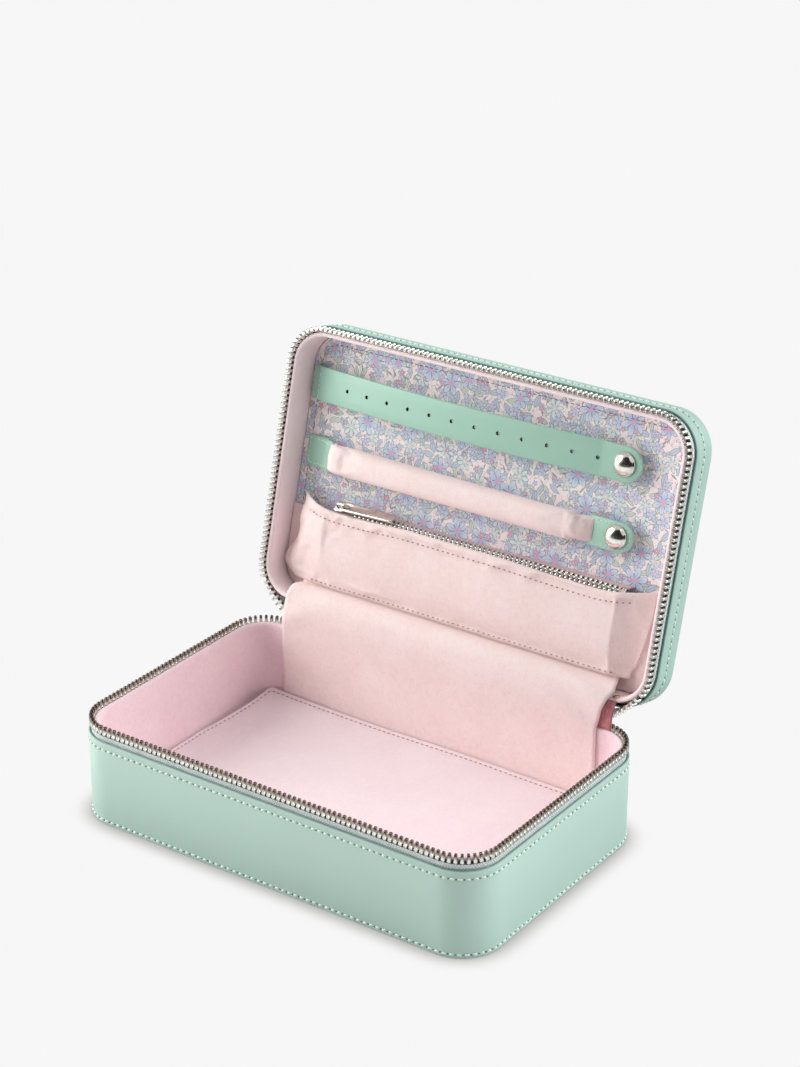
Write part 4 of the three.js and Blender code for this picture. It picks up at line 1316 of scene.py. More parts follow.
@dataclass
class ShellHalf(Assembly):
    """One half of the shell: leather, tape, teeth and lining, with heights from its outer face."""

    prefix: str
    body: Body
    cover: float
    seams: tuple[float, ...]
    stitch_pitch: float = 3.3
    groove: float = 0.22

    @property
    def is_lid(self) -> bool:
        """Whether this is the lid."""
        return self.body is Body.LID

    @property
    def cover_finish(self) -> Material:
        """The leatherette of this half; the lid's is a darker copy that paints shade onto the lid."""
        return self.finishes.lid_leather if self.is_lid else self.finishes.leather

    @property
    def split(self) -> float:
        """Distance from the outer face to the middle of the zip."""
        return self.cover + self.case.zip_band / 2

    def height(self, distance: float) -> float:
        """The closed case's Z of a distance from this half's outer face."""
        return self.case.top - distance if self.is_lid else distance

    def carried(self, draft: Draft) -> Draft:
        """The draft where this half stands."""
        return draft.placed(self.case.opened) if self.is_lid else draft

    def band(self, section: Sequence[Pair], stops: Sequence[float], closed: bool) -> Draft:
        """A band past places of the rim, whose section holds insets and distances from the outer face."""
        rings = [[self.rim.point(stop, inset, self.height(level)) for inset, level in section]
                 for stop in stops]
        return self.carried(Draft.loft(rings, closed_path=closed))

    def leather_section(self) -> list[Pair]:
        """Shapes the leather, with rounded edges and a shallow groove under each row of stitches.

        Returns:
            Insets and distances from the outer face.
        """
        section = [(1.0, 0.0), (0.7, 0.0), (0.34, 0.1), (0.1, 0.38), (0.0, 0.85)]
        for seam in self.seams:
            section += [(0.0, seam - 0.75), (self.groove * 0.6, seam - 0.3), (self.groove, seam),
                        (self.groove * 0.6, seam + 0.3), (0.0, seam + 0.75)]
        top = self.cover
        return section + [(0.0, top - 1.3), (0.05, top - 0.7), (0.2, top - 0.25), (0.45, top),
                          (0.75, top - 0.05), (1.0, top - 0.4)]

    def level(self, point: Vector) -> float:
        """Measures how far a placed point is from this half's outer face.

        Args:
            point: The point, on the open lid or on the base.

        Returns:
            The distance.
        """
        if not self.is_lid:
            return point.z
        y, z = self.case.hinge
        angle = radians(self.case.open_degrees)
        return self.case.top - (z + (point.y - y) * sin(angle) + (point.z - z) * cos(angle))

    def leather(self) -> None:
        """The leatherette round the walls and over the outer face."""
        # The "edge" mask darkens the top edge of the wall leather: partly dark edge paint, partly painted
        # shade of the gap beside the zip tape.
        raw = self.cover - 0.55
        wall = self.band(self.leather_section(), self.rim.loop(), True).make(
            f"{self.prefix}_leather", self.cover_finish, 35.0,
            {"edge": lambda p: 0.85 * smooth_step((self.level(p) - raw) / 0.5)})
        settle(wall, self.body, Slot.LEATHER, f"{self.prefix}_wall_cover")
        levels = [(0.0, 1.0), (0.0, 0.5), (0.12, 0.18), (0.4, 0.0), (0.9, -0.02)]
        face = self.plate(1.15, levels, crown=-0.5 if self.is_lid else 0.0)
        thing = face.make(f"{self.prefix}_face_leather", self.cover_finish, 35.0)
        settle(thing, self.body, Slot.LEATHER, f"{self.prefix}_{'top' if self.is_lid else 'bottom'}_cover")

    def plate(self, inset: float, levels: Sequence[Pair], crown: float = 0.0) -> Draft:
        """A plate that fills the outline, with shaped edges and a slight crown.

        Args:
            inset: How far inside the outline it starts.
            levels: Further insets and distances from the outer face, from inside out.
            crown: How much its middle swells, negative outwards.

        Returns:
            The draft where this half stands.
        """
        stops = self.rim.loop()
        rings = [[self.rim.point(stop, inset + more, self.height(level)) for stop in stops]
                 for more, level in levels]
        outer, level = rings[-1], levels[-1][1]
        for share in (0.96, 0.9, 0.8, 0.65, 0.5, 0.35, 0.2, 0.08):
            rings.append([Vector((p.x * share, p.y * share, self.height(level + crown * (1 - share ** 2))))
                          for p in outer])
        draft = Draft.loft(rings)
        draft.places = [tuple((draft.points[i].x, draft.points[i].y) for i in face) for face in draft.faces]
        return self.carried(draft)

    def chain_ends(self) -> Pair:
        """Finds where this half's chain begins and ends.

        Returns:
            Both distances along the rim.
        """
        rim = self.rim
        if self.is_lid:
            reach = rim.rear_corner + self.case.corner * radians(self.case.chain_turn)
            return -reach, reach
        return rim.distance(-71.0), rim.distance(85.8)

    def zip_half(self) -> None:
        """The tape, whose beaded edge is darkened as painted shade, and the teeth on it."""
        start, stop = self.chain_ends()
        low, high = self.cover - 6.0, self.split - self.case.tooth_reach + 0.3
        inset, half, bead = self.case.tape_inset, 0.25, 0.62
        side = [(-half, low), (-half, high - 1.1), (-bead * 0.8, high - 0.75), (-bead, high - 0.2),
                (-bead * 0.6, high + 0.25)]
        section = [(inset + x, level) for x, level in (
            *side, (0.0, high + 0.42), *((-x, level) for x, level in reversed(side)))]
        # The tape's beaded edge near the teeth is darkened as painted shade.
        tape = self.band(section, self.rim.stations(start, stop), False).make(
            f"{self.prefix}_tape", self.finishes.tape, 60.0,
            {"cord": lambda p: smooth_step((self.level(p) - (high - 1.15)) / 0.3)})
        settle(tape, self.body, Slot.TAPE, f"{self.prefix}_zip_tape")
        shift = 0.5 if self.is_lid else 0.0
        first = ceil(start / self.case.tooth_pitch + 0.5 - shift) + shift
        last = floor(stop / self.case.tooth_pitch - 0.5 - shift) + shift
        places = self.rim.stations(first * self.case.tooth_pitch, last * self.case.tooth_pitch, 2.0)
        points = [self.rim.point(place, inset, self.case.split) for place in places]
        guide = Guide.through(points, Vector((0, 0, -1.0 if self.is_lid else 1.0)))
        if self.is_lid:
            guide = guide.mapped(self.case)
        # The base's teeth get a "tip" mask that darkens their heads: painted dark reflection.
        roots = self.case.tooth_reach * 0.4
        shade = None if self.is_lid else {"tip": lambda p: smooth_step((p.z + roots) / 1.7)}
        teeth = self.rows.repeat(f"{self.prefix}_teeth", [guide], self.rim_tooth(),
                                 lengths(points)[-1] / (last - first), self.finishes.zip_nickel, masks=shade)
        settle(teeth, self.body, Slot.NICKEL, f"{self.prefix}_zip_teeth")

    def lining(self) -> None:
        """The padded wall lining with its soft lip."""
        wall, lip = self.case.wall, self.split - 1.0
        section = [
            (3.9, 3.1), (3.9, self.cover + 0.7), (3.2, self.cover + 1.4), (2.95, lip - 1.6), (3.05, lip - 0.6),
            (3.45, lip), (4.0, lip + 0.1), (4.6, lip - 0.15), (wall + 0.05, lip - 0.8),
            (wall + 0.25, lip - 1.8), (wall + 0.3, lip - 3.2), (wall + 0.12, lip - 6.5),
            (wall, lip - 10 if not self.is_lid else lip - 8), (wall, 3.1),
        ]
        # The lid's lining takes the lighter suedette copy, which paints light into the lid.
        thing = self.band(section, self.rim.loop(), True).make(
            f"{self.prefix}_lining", self.finishes.lid_suedette if self.is_lid else self.finishes.suedette,
            60.0)
        settle(thing, self.body, Slot.SUEDETTE, f"{self.prefix}_wall_lining")

    def face_lining(self) -> None:
        """What covers the inside of the outer face: suedette in the base and printed cotton in the lid."""
        levels = [(0.0, 3.1), (0.0, 3.8), (0.1, 4.0), (0.35, 4.1)]
        finish, slot, node = ((self.finishes.print, Slot.PRINT, "lid_print_panel") if self.is_lid
                              else (self.finishes.suedette, Slot.SUEDETTE, "base_floor_lining"))
        thing = self.plate(self.case.wall + 0.3, levels).make(f"{self.prefix}_face_lining", finish, 40.0)
        settle(thing, self.body, slot, node)

    def stitches(self) -> None:
        """The rows of stitches in the leather, each with dark discs of painted shade for the needle holes
        between them.
        """
        rim = self.rim
        guides = []
        for seam in self.seams:
            stops = rim.stations(-rim.half, rim.half - self.stitch_pitch, 3.0)
            guide = Guide.through([rim.point(stop, self.groove - 0.22, self.height(seam)) for stop in stops],
                                  [Vector((*rim.at(stop, 0.0)[2:], 0)) for stop in stops])
            guides.append(guide.mapped(self.case) if self.is_lid else guide)
        between = [Guide([p + w * (self.stitch_pitch / 2) for p, w in zip(guide.points, guide.along)],
                         guide.along, guide.up) for guide in guides]
        for name, lines, unit, finish, uneven in (
            ("stitches", guides, rod(2.45, 1.0, 0.95), self.finishes.mint_thread, 0.05),
            # Dark discs between the stitches: painted shade for the needle holes.
            ("stitch_holes", between, dimple(0.46, 0.5), self.finishes.hole, 0.1),
        ):
            thing = self.rows.repeat(f"{self.prefix}_{name}", lines, unit, self.stitch_pitch, finish, uneven)
            settle(thing, self.body, Slot.LEATHER)

    def build(self) -> None:
        """Builds this half."""
        self.leather()
        self.zip_half()
        self.lining()
        self.face_lining()
        self.stitches()


# Inside the base


@dataclass
class FloorPad(Assembly):
    """The padded insert on the floor, stitched near its edge, with a rear edge that curls up."""

    thickness: float = 3.0
    side_gap: float = 0.6
    back_gap: float = 0.9
    crown: float = 0.7
    lift: float = 4.8
    lift_length: float = 46.0
    narrowing: float = 6.7
    seam: float = 2.6
    front_radius: float = 13.4
    rear_radius: float = 2.5
    stitch_pitch: float = 2.7

    @property
    def half_x(self) -> float:
        """Half its length."""
        return self.case.inner_x - self.side_gap

    @property
    def half_y(self) -> float:
        """Half its depth."""
        return self.case.inner_y - self.side_gap - self.back_gap / 2

    def outline(self, inset: float) -> list[Pair]:
        """Draws its outline, always with the same count of points.

        Args:
            inset: How far inside its edge.

        Returns:
            The points, counter-clockwise.
        """
        arcs = []
        for number, (side_x, side_y, radius) in enumerate((
            (1, -1, self.front_radius), (1, 1, self.rear_radius), (-1, 1, self.rear_radius),
            (-1, -1, self.front_radius),
        )):
            r = max(radius - inset, 0.5)
            cx, cy = side_x * (self.half_x - inset - r), side_y * (self.half_y - inset - r)
            angles = [(number - 1) * pi / 2 + i * pi / 16 for i in range(9)]
            arcs.append([(cx + r * cos(a), cy + r * sin(a)) for a in angles])
        points = []
        for arc, following, span in zip(arcs, [*arcs[1:], arcs[0]], (26, 40, 26, 40)):
            (x, y), end = arc[-1], following[0]
            points += arc
            points += [(x + (end[0] - x) * i / span, y + (end[1] - y) * i / span) for i in range(1, span)]
        return points

    def placed(self, x: float, y: float, z: float) -> Vector:
        """Narrows the flat pad, curls it up and moves it to its place.

        Args:
            x, y, z: A point of the flat pad.

        Returns:
            The same point of the real one.
        """
        share = max(0.0, (y - self.half_y + self.lift_length) / self.lift_length)
        x *= (self.half_x - self.narrowing * share) / self.half_x
        z += self.lift * share ** 2
        corner = smooth_step((share - 0.7) / 0.3) * smooth_step((-x - 70) / 30)
        wave = 0.22 * ripple(x * 0.07, y * 0.09) + 0.3 * share * sin(x * 0.06 + 0.8)
        return Vector((x, y - self.back_gap / 2, z + 0.8 * corner + wave * smooth_step(z / 6)))

    def surface(self, inset: float) -> float:
        """Shapes the pad's rounded edge and the groove of its seam.

        Args:
            inset: A distance from its edge.

        Returns:
            Height of its top above its bottom there.
        """
        edge = sqrt(max(0.0, 1 - (1 - min(inset, 1.2) / 1.2) ** 2))
        dip = 0.55 * exp(-((inset - self.seam) / 0.65) ** 2)
        return self.thickness * (0.55 + 0.45 * edge) - dip

    def build(self) -> None:
        """Builds the pad and its stitches."""
        bottom = self.case.floor_top + self.case.gap
        insets = (0.0, 0.08, 0.25, 0.55, 0.9, 1.3, 1.7, 2.1, 2.45, 2.6, 2.75, 3.1, 3.5, 4.2, 5.2, 7.0, 10.0)
        rings = [[self.placed(x * share, y * share, bottom) for x, y in self.outline(0.9)]
                 for share in (0.4, 0.8, 1)]
        rings.append([self.placed(x, y, bottom + 0.35) for x, y in self.outline(0.15)])
        for inset in insets:
            rings.append([self.placed(x, y, bottom + self.surface(inset) + self.swell(x, y))
                          for x, y in self.outline(inset)])
        for share in (0.93, 0.85, 0.75, 0.62, 0.48, 0.34, 0.2, 0.08):
            rings.append([self.placed(x * share, y * share, bottom + self.thickness
                                      + self.swell(x * share, y * share))
                                      for x, y in self.outline(insets[-1])])
        # The pad's darker suedette partly paints shade.
        thing = Draft.loft(rings).make("floor_pad_suedette", self.finishes.floor, 60.0)
        settle(thing, Body.BASE, Slot.SUEDETTE, "floor_pad")
        points = [self.placed(x, y, bottom + self.surface(self.seam) + 0.18 + self.swell(x, y))
                  for x, y in self.outline(self.seam)]
        guide = Guide.through([*points, points[0]], Vector((0, 0, 1)))
        stitches = self.rows.repeat("floor_pad_stitches", [guide], rod(1.5, 0.5, 0.4), self.stitch_pitch,
                                    self.finishes.pink_thread, 0.08)
        settle(stitches, Body.BASE, Slot.SUEDETTE)
        self.fray(bottom)

    def fray(self, bottom: float) -> None:
        """The loose fibres along the rear edge near its left corner.

        Args:
            bottom: Height of the pad's underside.
        """
        guides = []
        for row in range(3):
            points = [self.placed(1.0 + 1.5 * i - self.half_x, self.half_y - 0.3 * row,
                                  bottom + 2.1 + 0.35 * row)
                      for i in range(24)]
            ways = [Vector((-0.5 + 0.9 * sin(2.3 * i + row), 1.0, 0.9 + 0.5 * cos(1.7 * i))).normalized()
                    for i in range(24)]
            guides.append(Guide.through(points, ways))
        fibre = Draft.loft([[Vector((0.06 * s * cos(a) + 0.12 * h * h, 0.06 * s * sin(a), h - 0.3))
                             for a in (0.0, 2.1, 4.2)]
                             for h, s in ((0.0, 1.0), (0.6, 0.9), (1.2, 0.7), (1.7, 0.3))])
        threads = self.rows.repeat("floor_pad_fray", guides, fibre, 0.8, self.finishes.floor, 0.5)
        settle(threads, Body.BASE, Slot.SUEDETTE)

    def swell(self, x: float, y: float) -> float:
        """How much the crown lifts the top there."""
        return self.crown * (1 - (x / self.half_x) ** 4) * (1 - (y / self.half_y) ** 4)


@dataclass
class SoftHinge(Assembly):
    """What joins base and lid: the outer strip, the inner lining and the ends of the lid's chain."""

    lining_left: float = -87.5
    lining_right: float = 87.0
    lining_thickness: float = 0.8
    right_edge: tuple[Pair, ...] = (
        (0.0, -1.7), (0.56, -1.7), (0.68, 0.3), (0.74, 1.4), (0.82, 3.3), (0.9, 1.4), (0.96, -1.0),
        (1.0, -1.0))
    strip_ends: Pair = (72.0, 92.0)
    spine_left: float = -69.5
    spine_right: float = 79.0
    spine_fold: float = 49.0
    lean: float = 60.0
    drop: float = 3.1

    def lining_line(self) -> list[Vector]:
        """Draws the lining's section from the floor to the pocket.

        Returns:
            Its points, as Y and Z.
        """
        climb = self.case.inner_y - self.case.gap - self.lining_thickness / 2
        panel, split = self.case.panel_height, self.case.split
        lip, hem, valley, tucked = (self.case.opened(Vector((0, y, z))) for y, z in (
            (self.case.inner_y, split + 1), (55.0, panel - 6.4), (56.3, panel - 5.1), (53.4, panel - 4.3)))
        away = 2.0
        return spline([
            (climb, self.case.floor_top + 0.7), (climb, 20.0), (climb, 42.0), (climb, split + 0.7),
            ((climb + lip.y) / 2 - away, (split + lip.z) / 2 + away), (lip.y - away, lip.z + away),
            ((lip.y + hem.y) / 2 - away, hem.z - 0.25), (hem.y - away, hem.z - 0.9), (valley.y, valley.z),
            (tucked.y, tucked.z),
        ], 72)

    def lining(self) -> None:
        """The pink lining that climbs the rear wall and runs up to the pocket."""
        line = self.lining_line()
        run, ways = lengths(line), tangents(line)
        columns = 96
        rings = []
        for c in range(columns + 1):
            x = self.lining_left + (self.lining_right - self.lining_left) * (c / columns)
            ring = []
            for k, point in enumerate(line):
                out = Vector((-ways[k].y, ways[k].x))
                level = run[k] / run[-1]
                free = smooth_step(level / 0.3) * smooth_step((1 - level) / 0.2)
                high = smooth_step((level - 0.45) / 0.2)
                right = smooth_step((x - 46) / 40) * high
                left = smooth_step((-x - 60) / 28) * high
                fold = 0.3 * ripple(x * 0.06, run[k] * 0.1) + right * 0.55 * sin(run[k] * 0.42 + x * 0.2)
                fold += left * 0.45 * sin(run[k] * 0.35 - x * 0.2)
                side = float(np.interp(level, *zip(*self.right_edge))) * smooth_step((x - 60) / 27)
                ring.append(Vector((x + side, point.x + out.x * fold * free, point.y + out.y * fold * free)))
            rings.append(ring)
        thing = Draft.loft(rings, closed_section=False).make("hinge_suedette", self.finishes.peach, 80.0)
        thickened(thing, self.lining_thickness)
        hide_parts("hinge_lining")
        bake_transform(thing)
        log.info("hinge lining: %.1f mm from floor to pocket", run[-1])

    def inner_strip(self) -> None:
        """The short strip behind the lining's right edge, from lip to lip; its deep pink is painted shade in
        the gap there.
        """
        back = self.case.inner_y + 1.3
        far = self.case.opened(Vector((0, back, self.case.split + 0.9)))
        line = spline([(back, self.case.split - 1.0), (back, self.case.split + 3.2),
                       ((back + far.y) / 2 - 0.6, (self.case.split + far.z) / 2 + 2.6), (far.y, far.z)], 18)
        left, right = self.strip_ends
        rings = [[Vector((left + (right - left) * c / 14, p.x, p.y)) for p in line] for c in range(15)]
        thing = Draft.loft(rings, closed_section=False).make("hinge_inner_strip", self.finishes.deep, 80.0)
        thickened(thing, 0.5)
        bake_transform(thing)

    def spine(self) -> None:
        """The leatherette strip outside the hinge."""
        case = self.case
        middle = case.depth / 2 - 0.5
        edge = case.top - case.lid_cover
        foot, head = (middle, case.base_cover + 0.3), case.opened(Vector((0, middle, edge - 0.3)))
        before = case.opened(Vector((0, middle, edge - 1.3)))
        rise = head.z - foot[1]
        line = spline([foot, (middle, foot[1] + rise * 0.45), (middle + 0.5, foot[1] + rise * 0.8),
                       (before.y, before.z), (head.y, head.z)], 20)
        wide = self.spine_right - self.spine_left
        rings = [[Vector((self.spine_left + wide * c / 30, p.x, p.y)) for p in line] for c in range(31)]
        thing = Draft.loft(rings, closed_section=False).make("hinge_spine_leather", self.finishes.leather,
                                                             60.0)
        thickened(thing, 1.0)
        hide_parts("hinge_spine")
        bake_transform(thing)

    def chain_end(self, name: str, way: int, end_x: float) -> None:
        """The last teeth of the lid's chain, which bend down to the closed end.

        Args:
            name: The CAD node that it stands for.
            way: 1 on the right and -1 on the left.
            end_x: Where it meets the closed end.
        """
        case, rim = self.case, self.rim
        reach = rim.rear_corner + case.corner * radians(case.chain_turn)
        angle = radians(case.open_degrees)
        x, y, out_x, out_y = rim.at(way * (reach + case.gap), case.tape_inset)
        start = case.opened(Vector((x, y, case.split)))
        leave = Vector((-way * out_y, way * out_x * cos(angle), -way * out_x * sin(angle)))
        end = Vector((end_x, case.depth / 2 - case.tape_inset, case.split + self.drop))
        arrive = Vector((-way, 0, -0.4)).normalized()
        third = (end - start).length / 3
        controls = (start, start + leave * third, end - arrive * third, end)
        points = []
        for i in range(41):
            t = i / 40
            a, b, c, d = (1 - t) ** 3, 3 * t * (1 - t) ** 2, 3 * t * t * (1 - t), t ** 3
            points.append(controls[0] * a + controls[1] * b + controls[2] * c + controls[3] * d)
        run, ways = lengths(points), tangents(points)
        lean = radians(self.lean)
        first, last = (Vector((0, -sin(a), -cos(a))) for a in (angle, lean))
        ups = []
        for mark, along in zip(run, ways):
            tips = first.lerp(last, mark / run[-1])
            ups.append((tips - along * tips.dot(along)).normalized())
        count = floor(run[-1] / case.tooth_pitch)
        inner = run[-1] / count / 2
        table = np.array([list(p) + list(u) for p, u in zip(points, ups)])
        marks = np.linspace(inner, run[-1] - inner, 30)
        placed = [[float(np.interp(m, run, table[:, k])) for k in range(6)] for m in marks]
        guide = Guide.through([Vector(p[:3]) for p in placed], [Vector(p[3:]).normalized() for p in placed])
        thing = self.rows.repeat(f"{name}_teeth", [guide], self.rim_tooth(),
                                 (run[-1] - 2 * inner) / (count - 1), self.finishes.zip_nickel)
        tape = []
        for p, u, along in zip(points, ups, ways):
            side = along.cross(u).normalized() * 0.45
            tape.append([p - u * down + side * out for down, out in (
                (1.6, 1.3), (1.6, -1.3), (2.5, -1.0), (4.6, -0.6), (4.6, 0.6), (2.5, 1.0))])
        # The tape's edge near the teeth is darkened as painted shade.
        strip = Draft.loft(tape).make(f"{name}_tape", self.finishes.tape, 50.0, {
            "cord": lambda q: 1 - smooth_step((min((q - p).length for p in points) - 2.2) / 0.5)})
        for piece, slot in ((thing, Slot.NICKEL), (strip, Slot.TAPE)):
            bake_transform(piece)
        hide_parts(name)
        log.info("%s: %d teeth", name, count)

    def build(self) -> None:
        """Builds the hinge's pieces."""
        self.lining()
        self.inner_strip()
        self.spine()
        self.chain_end("lid_chain_end_right", 1, 85.8)
        self.chain_end("lid_chain_end_left", -1, -84.8)


# Metal fittings


@dataclass
class Slider:
    """A zip slider with its pull, in its own frame: chain along X, outer face towards Y."""

    half_gap: float
    width: float
    length: float = 10.0
    plate: float = 0.6
    bail_length: float = 7.0
    bail_height: float = 3.2
    wire: float = 0.9
    bail_width: float = 1.6
    pull_length: float = 29.5
    pull_width: float = 5.2
    pull_thickness: float = 1.3

    @property
    def seat(self) -> float:
        """How far out the pull turns on the bail."""
        return self.half_gap + self.plate + (self.bail_height - self.wire) / 2

    def sole(self, y: float, grow: float) -> Draft:
        """Shapes one face of the slider, rounded at its nose.

        Args:
            y: Its place across the chain.
            grow: 1 where its outer side looks along Y and -1 where it looks back.

        Returns:
            The draft.
        """
        nose, half = self.length / 2, self.width / 2
        side = [(nose, half * 0.62), (nose - 1.2, half * 0.7), (0.5, half * 0.86), (-nose + half * 0.7, half),
                (-nose + half * 0.3, half * 0.9), (-nose + 0.2, half * 0.62), (-nose, half * 0.3)]
        plan = [(nose, -half * 0.62), *side, *((x, -z) for x, z in reversed(side[1:]))]
        t = self.plate / 2
        draft = Draft.slab(plan, [(0.3, -t), (0.05, -t * 0.6), (0.0, 0.0), (0.08, t * 0.6), (0.35, t)])
        return draft.placed(lambda p: Vector((p.x, y + grow * p.z, -p.y)))

    def body(self, post_z: float) -> Draft:
        """Shapes the slider's two faces, the post between them and the bail.

        Args:
            post_z: The post's place across the chain's width.

        Returns:
            The draft.
        """
        middle = self.half_gap + self.plate / 2
        draft = self.sole(middle, 1).join(self.sole(-middle, -1))
        nose = self.length / 2
        post = Draft.slab([(-nose, -0.4), (-nose + 1.6, -0.4), (-nose + 1.6, 0.4), (-nose, 0.4)],
                          [(0.0, -middle), (0.0, middle)])
        draft.join(post.placed(lambda p: Vector((p.x, p.z, post_z + p.y))))
        reach, high = self.bail_length / 2 - self.wire / 2, self.bail_height - self.wire / 2
        top = self.half_gap + self.plate
        path = spline([(reach * x, top + y) for x, y in (
            (-1, -0.25), (-1, high * 0.55), (-0.72, high * 0.93), (0, high), (0.72, high * 0.93),
            (1, high * 0.55), (1, -0.25))], 25)
        rings = []
        for p, along in zip(path, tangents(path)):
            rings.append([Vector((p.x - along.y * self.wire / 2 * c, p.y + along.x * self.wire / 2 * c,
                                  self.bail_width / 2 * s)) for c, s in circle(12)])
        return draft.join(Draft.loft(rings))

    def pull(self) -> Draft:
        """Shapes the pull: a flat bar with a window for the bail, turning on its own bar at the origin.

        Returns:
            The draft.
        """
        t, half = self.pull_thickness / 2, self.pull_width / 2
        rings = []
        for low, high, wide, radius, way, levels in (
            (-0.7, self.pull_length - 0.7, half, 0.9, 1, ((0.0, 0.55), (0.12, 0.85), (0.4, 1.0))),
            (0.7, 5.1, 1.2, 0.8, -1, ((0.3, 1.0), (0.08, 0.8), (0.0, 0.5))),
        ):
            plan = rounded([(low, -wide), (high, -wide), (high, wide), (low, wide)], radius)
            for inset, y in levels:
                rings.append([Vector((p[0] + way * w[0] * inset, y * t, p[1] + way * w[1] * inset))
                              for p, w in zip(plan, inward(plan))])
        mirrored = [[Vector((p.x, -p.y, p.z)) for p in ring] for ring in reversed(rings)]
        return Draft.loft(rings + mirrored, closed_path=True)


@dataclass
class Fittings(Assembly):
    """Places the main slider, the rivet and the finishes of what stays hidden."""

    def main_slider(self) -> None:
        """The slider behind the hinge, on the base's rear chain."""
        slider = Slider(self.case.tooth_thickness / 2 + 0.3, 8.6)
        place = Vector((-76.0, self.case.depth / 2 - self.case.tape_inset, self.case.split))
        body = slider.body(2.15).mapped(lambda p: p + place)
        settle(body.make("main_slider_metal", self.finishes.nickel), Body.MAIN_SLIDER, Slot.NICKEL,
               "main_slider")
        pull = slider.pull().mapped(lambda p: p + place + Vector((0, slider.seat, 0)))
        settle(pull.make("main_pull_metal", self.finishes.nickel), Body.MAIN_PULL, Slot.NICKEL, "main_pull")

    def rivet(self) -> None:
        """The small rivet beside the hinge lining."""
        angle, radius, high = radians(80.0), 1.7, 1.25
        reach = self.case.corner - self.case.wall - 0.3
        place = Vector((self.case.straight_x + reach * cos(angle), self.case.straight_y + reach * sin(angle),
                        self.case.split + 2.6))
        rings = [[Vector((radius * r * c, -high * h, radius * r * s)) for c, s in circle(20)] for r, h in (
            (0.6, -0.2), (1.0, 0.0), (1.02, 0.2), (0.9, 0.42), (0.65, 0.6), (0.3, 0.7), (0.06, 0.72))]
        turn = Matrix.Rotation(angle - pi / 2, 3, "Z")
        draft = Draft.loft(rings).placed(lambda p: self.case.opened(turn @ p + place))
        settle(draft.make("lining_rivet_metal", self.finishes.brass), Body.LID, Slot.BRASS, "lining_rivet")

    def hidden(self) -> None:
        """Finishes of the CAD nodes whose own shape stays."""
        boards = ("base_wall_board", "base_face_board", "lid_wall_board", "lid_face_board")
        metal = ("strap_snap_stud", "strap_snap_socket", "ring_roll_snap_stud", "ring_roll_snap_socket",
                 "zip_end_stop")
        for names, finish in ((boards, self.finishes.board), (metal, self.finishes.nickel)):
            for name in names:
                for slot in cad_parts[name].material_slots:
                    slot.material = finish

    def build(self) -> None:
        """Builds the fittings."""
        self.main_slider()
        self.rivet()
        self.hidden()


@dataclass
class SnapCap(Assembly):
    """The domed cap of a snap fastener, over the leather at a height above the panel."""

    body: Body
    node: str
    x: float
    y: float
    seat: float
    diameter: float = 11.0
    dome: float = 2.6

    def build(self) -> None:
        """Builds the cap."""
        profile = ((0.0, 0.0), (0.9, 0.0), (0.98, 0.05), (1.0, 0.14), (0.985, 0.24), (0.95, 0.3), (0.91, 0.36),
                   (0.86, 0.5), (0.78, 0.65), (0.66, 0.79), (0.5, 0.9), (0.32, 0.97), (0.14, 0.995),
                   (0.02, 1.0))
        rings = []
        for r, h in profile:
            radius = max(r, 0.01) * self.diameter / 2
            rings.append([Vector((self.x + radius * c, self.y + radius * s,
                                  self.case.panel_height - self.seat - self.dome * h)) for c, s in circle(48)])
        draft = Draft.loft(rings).placed(self.case.opened)
        settle(draft.make(f"{self.node}_metal", self.finishes.nickel, 50.0), self.body, Slot.NICKEL, self.node)


# Inside the lid


